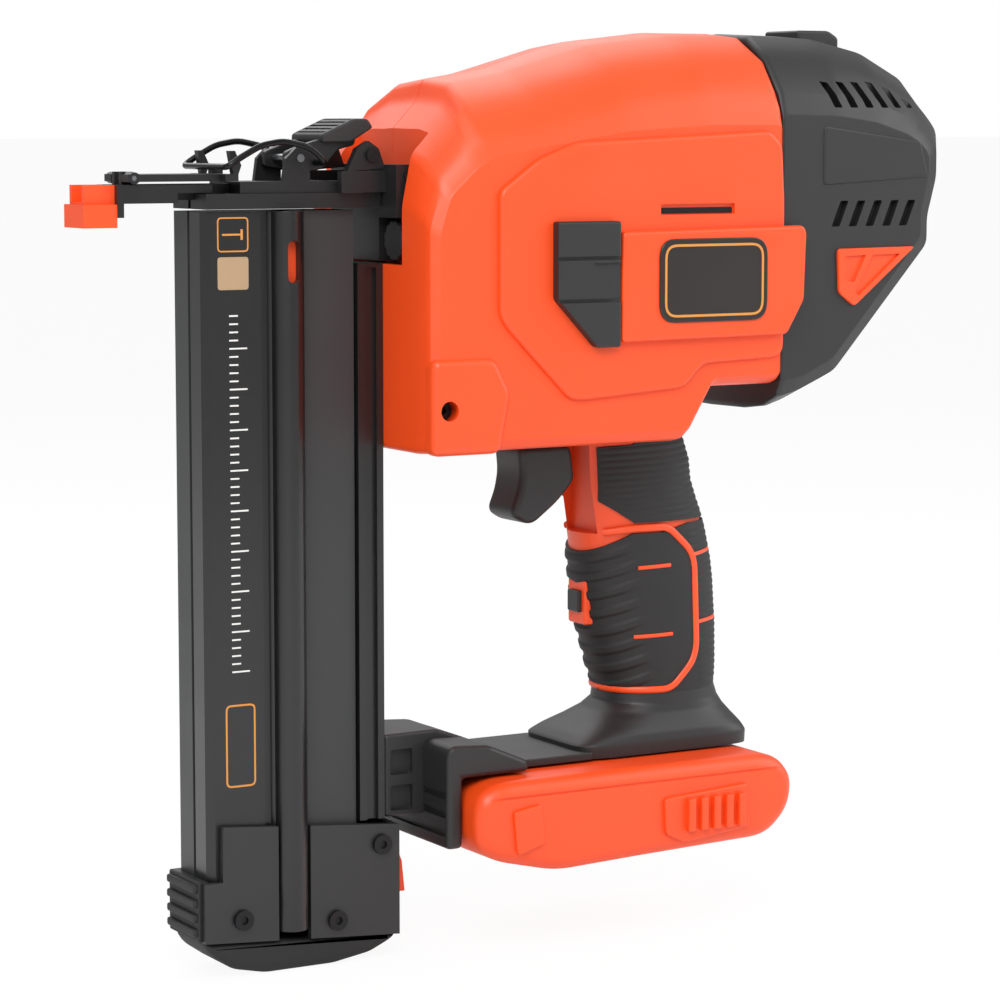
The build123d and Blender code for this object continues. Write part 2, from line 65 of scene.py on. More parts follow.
# ---- colours and finishes -----------------------------------------------------------------
def linear(hex_colour: str) -> tuple[float, float, float, float]:
    """Turn an sRGB hex colour into linear light.

    Args:
        hex_colour: six hex digits with a leading hash.

    Returns:
        Linear red, green, blue and an alpha of one.
    """
    values = np.array([int(hex_colour[i:i + 2], 16) for i in (1, 3, 5)]) / 255.0
    low, high = values / 12.92, ((values + 0.055) / 1.055) ** 2.4
    red, green, blue = np.where(values <= 0.04045, low, high)
    return float(red), float(green), float(blue), 1.0


def add_node(tree: bpy.types.NodeTree, kind: str, inputs: dict | None = None,
             links: dict | None = None, **settings) -> bpy.types.Node:
    """Add one shader node.

    Args:
        tree: the node tree.
        kind: the node's type name.
        inputs: socket name or index to constant value.
        links: socket name or index to the output socket that feeds it.
        settings: attributes of the node.

    Returns:
        The new node.
    """
    node = tree.nodes.new(kind)
    for name, value in settings.items():
        setattr(node, name, value)
    for key, value in (inputs or {}).items():
        node.inputs[key].default_value = value
    for key, output in (links or {}).items():
        tree.links.new(output, node.inputs[key])
    return node


@dataclass(frozen=True)
class Finish:
    """One material: a base colour, its gloss, and a fine and a broad pattern.

    The fine pattern is a bump whose grain is grain_mm across, the broad one shifts the
    colour by tone and the roughness by patchy over about 25 mm.
    """

    name: str
    colour: str
    roughness: float
    metallic: float = 0.0
    ior: float = 1.46
    grain_mm: float = 0.6
    grain_depth_mm: float = 0.02
    stretch: tuple[float, float, float] = (1.0, 1.0, 1.0)
    tone: float = 0.06
    patchy: float = 0.08
    coat: float = 0.0

    def build(self) -> bpy.types.Material:
        """Make the node material."""
        material = bpy.data.materials.new(self.name)
        material.use_nodes = True
        tree = material.node_tree
        tree.nodes.clear()
        place = add_node(tree, "ShaderNodeTexCoord")
        fine_map = add_node(tree, "ShaderNodeMapping", {"Scale": self.stretch},
                            {"Vector": place.outputs["Object"]})
        fine = add_node(tree, "ShaderNodeTexNoise",
                        {"Scale": 1000.0 / self.grain_mm / 2.0, "Detail": 3.0, "Roughness": 0.6},
                        {"Vector": fine_map.outputs["Vector"]})
        broad = add_node(tree, "ShaderNodeTexNoise", {"Scale": 40.0, "Detail": 4.0},
                         {"Vector": place.outputs["Object"]})
        base = linear(self.colour)
        dark = tuple(c * (1.0 - self.tone) for c in base[:3]) + (1.0,)
        light = tuple(min(1.0, c * (1.0 + self.tone)) for c in base[:3]) + (1.0,)
        tones = add_node(tree, "ShaderNodeMix", {6: dark, 7: light},
                         {0: broad.outputs["Fac"]}, data_type="RGBA")
        colour_output = tones.outputs[2]
        gloss = add_node(tree, "ShaderNodeMapRange",
                         {"To Min": max(0.05, self.roughness - self.patchy),
                          "To Max": min(1.0, self.roughness + self.patchy)},
                         {"Value": broad.outputs["Fac"]})
        bump = add_node(tree, "ShaderNodeBump",
                        {"Strength": 0.5, "Distance": self.grain_depth_mm * MM},
                        {"Height": fine.outputs["Fac"]})
        shader = add_node(tree, "ShaderNodeBsdfPrincipled",
                          {"Metallic": self.metallic, "IOR": self.ior, "Coat Weight": self.coat},
                          {"Base Color": colour_output, "Roughness": gloss.outputs[0],
                           "Normal": bump.outputs["Normal"]})
        add_node(tree, "ShaderNodeOutputMaterial", links={0: shader.outputs[0]})
        return material


class Look(Enum):
    """The finishes of the tool, each named for its material and process, and the painted shade of
    unlit cavities.
    """

    # Injection-moulded ABS, spark-eroded mould texture: bright orange with a soft sheen.
    ORANGE_ABS = Finish("moulded_orange_abs", "#E8480F", 0.44, ior=1.54,
                        grain_mm=0.7, grain_depth_mm=0.035, tone=0.04)
    # Glass-filled nylon, black: a dull sheen with a visible mould grain.
    BLACK_NYLON = Finish("moulded_black_nylon", "#1B1B1C", 0.5, ior=1.53,
                         grain_mm=0.8, grain_depth_mm=0.05, tone=0.12)
    # Thermoplastic elastomer overmould: matt, almost no highlight.
    GRIP_TPE = Finish("overmoulded_tpe", "#1A1A1B", 0.66, ior=1.5,
                      grain_mm=0.9, grain_depth_mm=0.07, tone=0.12)
    # Extruded aluminium, black anodised: a long soft highlight along the extrusion.
    BLACK_ANODISED = Finish("extruded_black_anodised", "#141415", 0.34,
                            ior=1.5, grain_mm=0.9, grain_depth_mm=0.02,
                            stretch=(1.0, 1.0, 0.03), tone=0.1, coat=0.15)
    # Extruded aluminium, dark grey anodised: a flat grey with fine drawn lines.
    GREY_ANODISED = Finish("extruded_grey_anodised", "#303132", 0.45,
                           grain_mm=0.9, grain_depth_mm=0.02, stretch=(1.0, 1.0, 0.03), tone=0.08)
    # Pressed steel with a stoved satin black paint: slight orange peel.
    SATIN_PAINT = Finish("stoved_satin_paint", "#242526", 0.4, ior=1.5,
                         grain_mm=1.6, grain_depth_mm=0.02, tone=0.08)
    # Manganese phosphate on hardened steel: charcoal with a patchy tone; the rubbed, brighter
    # edges of the real part are not drawn.
    PHOSPHATE = Finish("phosphated_steel", "#19191A", 0.4, grain_mm=0.5,
                       grain_depth_mm=0.02, tone=0.15)
    # Black spring wire, oiled: dark with a narrow highlight.
    SPRING_WIRE = Finish("oiled_spring_wire", "#131314", 0.26, metallic=0.5,
                         grain_mm=0.5, grain_depth_mm=0.005, tone=0.1)
    # Zinc-plated steel: a grey metal with a weak cast in the plating.
    ZINC = Finish("zinc_plated_steel", "#8E9093", 0.34, metallic=1.0,
                  grain_mm=0.6, grain_depth_mm=0.01, tone=0.1)
    # Black oxide on screw heads: near black with a dull metal sheen.
    BLACK_OXIDE = Finish("black_oxide_steel", "#1E1E20", 0.38, metallic=0.5,
                         grain_mm=0.5, grain_depth_mm=0.01, tone=0.1)
    # Pressure-cast aluminium: pale grey with a matt skin.
    CAST_ALUMINIUM = Finish("cast_aluminium", "#A4A6A8", 0.5, metallic=1.0,
                            grain_mm=1.2, grain_depth_mm=0.06, tone=0.08)
    # Screen-printed ink: a flat even colour.
    AMBER_INK = Finish("printed_amber_ink", "#C9853B", 0.55, tone=0.03,
                       grain_depth_mm=0.004)
    TAN_INK = Finish("printed_tan_ink", "#A58A6B", 0.55, tone=0.03,
                     grain_depth_mm=0.004)
    WHITE_INK = Finish("printed_white_ink", "#D8D8D6", 0.55, tone=0.03,
                       grain_depth_mm=0.004)
    # Satin moulded name panel: smoother than the nylon round it.
    BADGE_BLACK = Finish("moulded_badge_panel", "#2A2523", 0.3, tone=0.05,
                         grain_depth_mm=0.008)
    # Solder mask over glass-fibre board.
    BOARD = Finish("solder_mask", "#1F5A35", 0.35)
    # Shrink sleeve on a cell: glossy blue film.
    CELL_FILM = Finish("shrink_sleeve", "#2C5E9E", 0.25)
    # Enamelled steel can of the motor.
    MOTOR_ENAMEL = Finish("enamelled_steel", "#3A3B3D", 0.35)
    # Painted shade: a near-black colour that stands for the unlit depth behind a vent or slot, no
    # sheen.
    CAVITY = Finish("painted_cavity_shade", "#0B0B0C", 0.9, tone=0.02)


MATERIALS: dict[Look, bpy.types.Material] = {}


def material_of(look: Look) -> bpy.types.Material:
    """The material of a look, built once."""
    if look not in MATERIALS:
        MATERIALS[look] = look.value.build()
    return MATERIALS[look]


# ---- surfaces -----------------------------------------------------------------------------
class Axis(Enum):
    """Direction of an extrusion, with the order that puts (u, v, depth) into x, y, z."""

    X = (2, 0, 1)
    Y = (0, 2, 1)
    Z = (0, 1, 2)


def corner_curves(corner: np.ndarray, before: np.ndarray, after: np.ndarray, radius: float,
                  steps: int) -> np.ndarray:
    """Quadratic curves that replace corners.

    Each corner P becomes the curve (1-s)^2 A + 2s(1-s) P + s^2 B for s from 0 to 1, where A
    and B lie on the two edges at the radius from P, or at 0.45 of the edge where that is less.

    Args:
        corner: the corners.
        before: the point before each corner.
        after: the point after each corner.
        radius: distance from each corner to where its curve starts.
        steps: pieces in each curve.

    Returns:
        The curves' points in order, one row each.
    """
    to_a, to_b = before - corner, after - corner
    long_a, long_b = (np.linalg.norm(e, axis=1, keepdims=True) for e in (to_a, to_b))
    start = corner + to_a * (np.minimum(radius, 0.45 * long_a) / long_a)
    end = corner + to_b * (np.minimum(radius, 0.45 * long_b) / long_b)
    s = np.linspace(0, 1, steps + 1)[None, :, None]
    curve = (1 - s) ** 2 * start[:, None] + 2 * s * (1 - s) * corner[:, None] + s**2 * end[:, None]
    return curve.reshape(-1, corner.shape[1])


def rounded(points: Points, radius: float, steps: int = 4) -> np.ndarray:
    """Round the corners of a closed outline with corner_curves().

    Args:
        points: the outline's corners in order.
        radius: distance from each corner to where its curve starts.
        steps: pieces in each curve.

    Returns:
        An array of rows (u, v).
    """
    corner = np.array(points, float)
    return corner_curves(corner, np.roll(corner, 1, 0), np.roll(corner, -1, 0), radius, steps)


def inset(ring: np.ndarray, distance: float) -> np.ndarray:
    """Move a closed outline inwards along its mitred normals.

    Each point moves by distance times (n1 + n2) / (1 + n1.n2), where n1 and n2 are the inward
    normals of its two edges.

    Args:
        ring: rows (u, v).
        distance: how far each edge moves in.

    Returns:
        The moved outline.
    """
    edge = np.roll(ring, -1, 0) - ring
    area = np.sum(ring[:, 0] * np.roll(ring[:, 1], -1) - np.roll(ring[:, 0], -1) * ring[:, 1])
    normal = np.stack([-edge[:, 1], edge[:, 0]], 1) * np.sign(area)
    normal /= np.maximum(np.linalg.norm(normal, axis=1, keepdims=True), 1e-9)
    previous = np.roll(normal, 1, 0)
    dot = np.sum(normal * previous, 1, keepdims=True)
    return ring + distance * (normal + previous) / np.maximum(1 + dot, 0.5)


def even_normals(piece: Piece) -> Piece:
    """Weight the piece's shading by face area, so that flat faces look flat."""
    weighted = piece.modifiers.new("even_normals", "WEIGHTED_NORMAL")
    weighted.keep_sharp = True
    return piece


def smooth_shade(mesh: bpy.types.Mesh, sharp_degrees: float) -> None:
    """Shade a mesh smooth, with sharp edges where faces turn by more than the angle."""
    mesh.polygons.foreach_set("use_smooth", np.ones(len(mesh.polygons), bool))
    mesh.set_sharp_from_angle(angle=math.radians(sharp_degrees))


def finish_mesh(name: str, verts: np.ndarray, faces: list, look: Look,
                sharp_degrees: float = SHARP) -> Piece:
    """Put vertices and faces into a smooth-shaded object whose faces point outwards."""
    mesh = bpy.data.meshes.new(name)
    mesh.from_pydata((verts * MM).tolist(), [], faces)
    work = bmesh.new()
    work.from_mesh(mesh)
    bmesh.ops.remove_doubles(work, verts=work.verts, dist=0.01 * MM)
    bmesh.ops.recalc_face_normals(work, faces=work.faces)
    work.to_mesh(mesh)
    work.free()
    smooth_shade(mesh, sharp_degrees)
    mesh.materials.append(material_of(look))
    piece = bpy.data.objects.new(name, mesh)
    bpy.context.scene.collection.objects.link(piece)
    return even_normals(piece)


def grid_faces(rows: int, count: int, closed_rows: bool, closed_columns: bool) -> list:
    """Quads of a grid of rows times count points, which may close up either way."""
    row = np.arange(rows if closed_rows else rows - 1)[:, None]
    column = np.arange(count if closed_columns else count - 1)[None, :]
    following, above = (column + 1) % count, (row + 1) % rows
    quads = np.stack([row * count + column, row * count + following,
                      above * count + following, above * count + column], -1)
    return quads.reshape(-1, 4).tolist()


def ring_faces(rows: int, count: int, closed_rows: bool = False) -> list:
    """Quads between successive rings of count points, and end caps unless the rows close up."""
    faces = grid_faces(rows, count, closed_rows, True)
    if not closed_rows:
        faces += [list(range(count)), list(range((rows - 1) * count, rows * count))]
    return faces


def stacked(name: str, rings: list[np.ndarray], depths: list[float], axis: Axis,
            look: Look) -> Piece:
    """Closed solid through outlines that lie at given depths along an axis."""
    flat = np.concatenate([np.column_stack([ring, np.full(len(ring), depth)])
                           for ring, depth in zip(rings, depths)])
    faces = ring_faces(len(rings), len(rings[0]))
    return finish_mesh(name, flat[:, list(axis.value)], faces, look)


def prism(name: str, points: Points, low: float, high: float, look: Look, axis: Axis = Axis.Y,
          corner: float = 1.0, edge: float = 0.6, steps: int = 3) -> Piece:
    """Extrusion with rounded corners and quarter-round edges.

    At angle t from 0 to 90 degrees the edge row lies edge(1 - sin t) inside the outline and
    edge(1 - cos t) from the face, mirrored at the other face.

    Args:
        name: the object's name.
        points: corners of the outline, in the two directions across the axis.
        low: lower end along the axis.
        high: upper end along the axis.
        look: the finish.
        axis: direction of the extrusion.
        corner: corner rounding.
        edge: radius of the long edges.
        steps: pieces in each quarter round.

    Returns:
        The object.
    """
    turn = np.linspace(0, math.pi / 2, steps + 1)
    inner, drop = edge * (1 - np.sin(turn)), edge * (1 - np.cos(turn))
    rings = [inset(np.array(points, float), d) for d in inner]
    if corner > 0:
        rings = [rounded(ring, max(corner - d, 0.05), steps) for ring, d in zip(rings, inner)]
    rings += rings[::-1]
    depths = list(low + drop) + list(high - drop[::-1])
    return stacked(name, rings, depths, axis, look)


def tube(name: str, path: np.ndarray, radius: float, look: Look, sides: int = 12,
         flat: float = 1.0) -> Piece:
    """Round bar along a path: each ring is centre + radius(cos a U + flat sin a V).

    Args:
        name: the object's name.
        path: rows (x, y, z).
        radius: radius of the bar.
        look: the finish.
        sides: points in each ring.
        flat: thickness across the ring as a share of its width.

    Returns:
        The object.
    """
    heading = np.gradient(path, axis=0)
    heading /= np.linalg.norm(heading, axis=1, keepdims=True)
    guide = np.array([0.0, 1.0, 0.0]) + 1e-3
    across = np.cross(heading, guide)
    weak = np.linalg.norm(across, axis=1) < 0.2
    across[weak] = np.cross(heading[weak], np.array([0.0, 0.0, 1.0]))
    for row in range(1, len(path)):
        kept = across[row - 1] - heading[row] * np.dot(across[row - 1], heading[row])
        across[row] = kept
    across /= np.linalg.norm(across, axis=1, keepdims=True)
    other = np.cross(heading, across)
    angle = np.linspace(0, 2 * math.pi, sides, endpoint=False)[None, :, None]
    rings = path[:, None] + radius * (np.cos(angle) * across[:, None]
                                      + flat * np.sin(angle) * other[:, None])
    return finish_mesh(name, rings.reshape(-1, 3), ring_faces(len(path), sides), look, 50)


def smooth_path(points: list[tuple[float, float, float]], radius: float,
                steps: int = 6) -> np.ndarray:
    """Open path with its inner corners rounded by corner_curves()."""
    knot = np.array(points, float)
    curve = corner_curves(knot[1:-1], knot[:-2], knot[2:], radius, steps)
    return np.concatenate([knot[:1], curve, knot[-1:]])


def superellipse(turn: np.ndarray, z: np.ndarray, limits: tuple, half: float | np.ndarray,
                 power: float | np.ndarray) -> np.ndarray:
    """Points x = xc + a |cos t|^(2/n), y = b |sin t|^(2/n), with the cosine's and sine's signs.

    Args:
        turn: angles t, zero at the rear.
        z: heights, which broadcast with the angles.
        limits: front and rear x; xc is their middle and a is half of their distance.
        half: half width b.
        power: n, where 2 gives an ellipse and more gives squarer corners.

    Returns:
        Array with a last axis x, y, z.
    """
    front, rear = limits
    cosine, sine = np.cos(turn), np.sin(turn)
    x = (front + rear) / 2 + (rear - front) / 2 * np.sign(cosine) * np.abs(cosine) ** (2 / power)
    y = half * np.sign(sine) * np.abs(sine) ** (2 / power)
    return np.stack(np.broadcast_arrays(x, y, z), -1)


def box_points(x: tuple[float, float], z: tuple[float, float]) -> Points:
    """Corners of a rectangle."""
    return [(x[0], z[0]), (x[1], z[0]), (x[1], z[1]), (x[0], z[1])]


def carve(target: Piece, cutters: list[Piece]) -> Piece:
    """Cut pieces out of a target and delete them.

    Args:
        target: the object to cut.
        cutters: closed objects that overlap it.

    Returns:
        The target, with the cuts in its mesh.
    """
    for modifier in list(target.modifiers):
        target.modifiers.remove(modifier)
    for tool in cutters:
        tool.modifiers.clear()
        cut = target.modifiers.new("cut", "BOOLEAN")
        cut.operation = "DIFFERENCE"
        cut.solver = "EXACT"
        cut.object = tool
    bpy.context.view_layer.update()
    graph = bpy.context.evaluated_depsgraph_get()
    result = bpy.data.meshes.new_from_object(target.evaluated_get(graph))
    target.modifiers.clear()
    old = target.data
    target.data = result
    bpy.data.meshes.remove(old)
    smooth_shade(result, SHARP)
    for tool in cutters:
        bpy.data.objects.remove(tool)
    return even_normals(target)


def cutter(points: Points, low: float, high: float, corner: float = 0.0,
           edge: float = 0.1) -> Piece:
    """Closed prism along Y for carve(), which deletes it."""
    return prism("cutter", points, low, high, Look.CAVITY, corner=corner, edge=edge)


def join(name: str, pieces: list[Piece]) -> Piece:
    """Join objects into the first one, which takes the name."""
    for piece in pieces:
        piece.modifiers.clear()
    with bpy.context.temp_override(active_object=pieces[0], selected_editable_objects=pieces,
                                   selected_objects=pieces, object=pieces[0]):
        bpy.ops.object.join()
    pieces[0].name = name
    pieces[0].data.name = name
    return even_normals(pieces[0])


def place(piece: Piece, body: str, slot: str | None = None,
          nodes: tuple[str, ...] = ()) -> Piece:
    """Ride a piece on a body and hide the nodes it stands for."""
    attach(piece, body)
    if nodes:
        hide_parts(*nodes)
    LOG.info("%s rides on %s, %d faces", piece.name, body, len(piece.data.polygons))
    return piece


def span(side: int, inner: float, outer: float) -> tuple[float, float]:
    """Y limits of something between two distances from the middle, on one side."""
    return (inner, outer) if side > 0 else (-outer, -inner)


SIDES = {"left": -1, "right": 1}


# ---- housing ------------------------------------------------------------------------------
@dataclass
class Housing:
    """The two orange halves with their raised panels, covers, slatted bumpers and badges."""

    core_half: float = 42.0
    panel_half: float = 44.4
    # Distance from the middle and the outline there, in X and Z.
    stations: tuple = (
        (0.15, [(-51.5, 163), (-51.5, 240), (-48, 257), (-33.5, 272), (-31.5, 278.6),
                (-11.5, 281.8), (19.4, 290.8), (50, 294.2), (77.9, 294.2), (77.9, 180),
                (50, 180), (40, 163)]),
        (17, [(-51.5, 163), (-51.5, 240), (-48, 257), (-34, 271), (-32, 277),
              (-11.5, 280.6), (19.4, 289.4), (50, 292.6), (77.9, 292.6), (77.9, 180),
              (50, 180), (40, 163)]),
        (31, [(-51.5, 163), (-51.5, 238), (-48.6, 253), (-37, 265.5), (-34, 270),
              (-12, 274), (19.4, 281.8), (50, 285.0), (77.9, 285.0), (77.9, 180),
              (50, 180), (40, 163)]),
        (38, [(-51.5, 163.6), (-51.5, 235), (-47.6, 248), (-38, 258.5), (-33, 262),
              (-12, 266), (19.4, 273), (50, 275.5), (77.9, 275.5), (77.9, 180.6),
              (50.4, 180.6), (40.4, 163.6)]),
        (40.6, [(-50.9, 164.4), (-50.9, 233), (-46.8, 245.6), (-36.6, 255), (-31, 258.4),
                (-12, 262), (19.4, 268), (50, 270.4), (77.9, 270.4), (77.9, 181.6),
                (51, 181.6), (41, 164.4)]),
        (42, [(-49.2, 166.4), (-49.2, 231), (-45.2, 243), (-35.2, 252), (-29.6, 255),
              (-12, 258), (19.4, 263), (50, 265), (77.9, 265), (77.9, 183),
              (52, 183), (42, 166.4)]),
    )
    panel: tuple = ((-28.2, 244), (-28.2, 206), (-25.9, 202), (-3.1, 178.9), (1, 178.2),
                    (39.5, 180.8), (47, 188.2), (76, 189.4), (78, 192), (78, 240), (77, 258),
                    (72, 262.5), (0, 259), (-14, 254))
    lower_block: tuple = ((-51.5, 163), (-51.5, 193), (-29.4, 193), (-23.6, 181.5), (-27.5, 163))
    cover: tuple = ((14.4, 231), (83, 232), (84.4, 230), (83.6, 208), (77, 197), (14, 196.3))
    bumper: tuple = ((-9.6, 234.5), (13.4, 234.4), (13.4, 195), (5, 195), (-9.6, 210.4))
    corner: float = 2.2
    end_inset: float = 0.8
    end_depth: float = 0.5
    panel_inner: float = 40.0
    block_span: tuple = (36, 44)
    trim_inner: float = 43.5
    cover_half: float = 47.5
    bumper_half: float = 48.0
    slot: tuple = ((30, 58), (236, 239.4))
    # Box of the near-black sheet of painted shade at the bottom of the slot.
    slot_shade_floor: tuple = ((30.6, 57.4), (236.4, 238.2))
    nose_recess: tuple = ((-60, -42), (221, 320))
    nose_recess_half: float = 23.5
    trigger_slot: tuple = ((-2, 30), (140, 166.5))
    trigger_slot_half: float = 9.6
    groove_heights: tuple = (209.2, 222.4)
    groove_width: float = 1.2
    bumper_hollow: tuple = ((3, 221.5), (20, 221.5), (20, 210.4), (9.5, 210.4))
    badge_centre: tuple[float, float] = (48.0, 215.25)
    badge_size: tuple[float, float] = (41.0, 26.5)
    badge_margin: float = 3.4
    badge_span: tuple = (47.3, 48.2)
    border_span: tuple = (48.1, 48.35)
    border_line: float = 0.8
    well_radius: float = 3.1
    well_floor: float = 37.2
    left_screws: tuple = ((-46.0, 177),)
    right_screws: tuple = ((-40, 212), (-20, 170), (-42, 236), (0, 263), (60, 265), (66, 196))

    def half(self, name: str, side: int) -> Piece:
        """One half: outlines at several distances from the middle, joined by flat facets."""
        rings = [rounded(points, self.corner) for _, points in self.stations]
        rings.append(inset(rings[-1], self.end_inset))
        depths = [side * y for y, _ in self.stations]
        depths.append(side * (self.core_half + self.end_depth))
        shell = stacked(f"housing_{name}_shell", rings, depths, Axis.Y, Look.ORANGE_ABS)
        cutters = [cutter(box_points(*self.nose_recess), -self.nose_recess_half,
                          self.nose_recess_half, edge=0.2),
                   cutter(box_points(*self.trigger_slot), -self.trigger_slot_half,
                          self.trigger_slot_half, edge=0.2)]
        return carve(shell, cutters + self.wells(side))

    def wells(self, side: int) -> list[Piece]:
        """Round cutters over the screw heads of one side."""
        spots = self.left_screws if side < 0 else self.right_screws
        return [cutter(self.disc(x, z, self.well_radius), *span(side, self.well_floor, 60))
                for x, z in spots]

    def side_pieces(self, name: str, side: int) -> None:
        """Raised panel, lower block, cover and bumper of one side."""
        outer = self.panel_half
        panel = prism(f"housing_{name}_panel", self.panel, *span(side, self.panel_inner, outer),
                      Look.ORANGE_ABS, corner=2.5, edge=1.6, steps=4)
        cutters = [cutter(box_points(*self.slot), *span(side, outer - 1.2, outer + 2), 0.4)]
        if side > 0:
            cutters += self.wells(side)
        place(carve(panel, cutters), "tool", "orange_abs")
        # Painted shade: a near-black sheet at the bottom of the slot stands for the shade in its
        # depth.
        floor = prism(f"slot_shade_floor_{name}", box_points(*self.slot_shade_floor),
                      *span(side, outer - 2, outer - 0.7), Look.CAVITY, corner=0.3, edge=0.1)
        place(floor, "tool", "black_abs")
        block = prism(f"housing_{name}_lower_block", self.lower_block,
                      *span(side, *self.block_span), Look.ORANGE_ABS, corner=3, edge=2.6, steps=5)
        if side < 0:
            block = carve(block, self.wells(side))
        place(block, "tool", "orange_abs")
        cover = prism(f"side_cover_{name}_shell", self.cover,
                      *span(side, self.trim_inner, self.cover_half), Look.ORANGE_ABS,
                      corner=1.6, edge=1.2, steps=4)
        place(cover, "tool", "orange_abs", (f"side_cover_{name}",))
        bumper = prism(f"side_bumper_{name}_shell", self.bumper,
                       *span(side, self.trim_inner, self.bumper_half), Look.BLACK_NYLON,
                       corner=1.0, edge=0.9, steps=4)
        cutters = [cutter(box_points((-20, 20), (z, z + self.groove_width)),
                          *span(side, 46.9, 50)) for z in self.groove_heights]
        cutters.append(cutter(self.bumper_hollow, *span(side, 47.0, 50), 0.5))
        place(carve(bumper, cutters), "tool", "black_abs", (f"side_bumper_{name}",))

    def badge(self, name: str, side: int) -> None:
        """Dark plate with a plain raised amber border, left bare inside."""
        (cx, cz), (width, height) = self.badge_centre, self.badge_size
        outline = box_points((cx - width / 2, cx + width / 2), (cz - height / 2, cz + height / 2))
        plate = prism(f"badge_plate_{name}", outline, *span(side, *self.badge_span),
                      Look.BADGE_BLACK, corner=6, edge=0.4, steps=6)
        place(plate, "tool", "black_abs", ("badge_plates",) if side < 0 else ())
        inner = (width - self.badge_margin, height - self.badge_margin)
        border = outline_ring(f"badge_border_{name}", (cx, cz), inner, 4.6,
                              self.border_line, span(side, *self.border_span), Look.AMBER_INK)
        place(border, "tool", "black_abs")

    @staticmethod
    def disc(x: float, z: float, radius: float, count: int = 24) -> Points:
        """Points of a circle."""
        turn = np.linspace(0, 2 * math.pi, count, endpoint=False)
        across, up = x + radius * np.cos(turn), z + radius * np.sin(turn)
        return list(zip(across.tolist(), up.tolist()))

    def build(self) -> None:
        """Make both sides."""
        for name, side in SIDES.items():
            place(self.half(name, side), "tool", "orange_abs", (f"housing_{name}",))
            self.side_pieces(name, side)
            self.badge(name, side)


def outline_ring(name: str, centre: tuple[float, float], size: tuple[float, float],
                 corner: float, line: float, depth: tuple[float, float],
                 look: Look) -> Piece:
    """Flat printed frame: the band between a rounded rectangle and its inset by line."""
    half_w, half_h = size[0] / 2, size[1] / 2
    outer = rounded(box_points((centre[0] - half_w, centre[0] + half_w),
                               (centre[1] - half_h, centre[1] + half_h)), corner, 6)
    inner = inset(outer, line)
    rings = [outer, outer, inner, inner]
    levels = [depth[0], depth[1], depth[1], depth[0]]
    flat = np.concatenate([np.column_stack([r, np.full(len(r), d)])
                           for r, d in zip(rings, levels)])
    faces = ring_faces(4, len(outer), closed_rows=True)
    return finish_mesh(name, flat[:, list(Axis.Y.value)], faces, look)


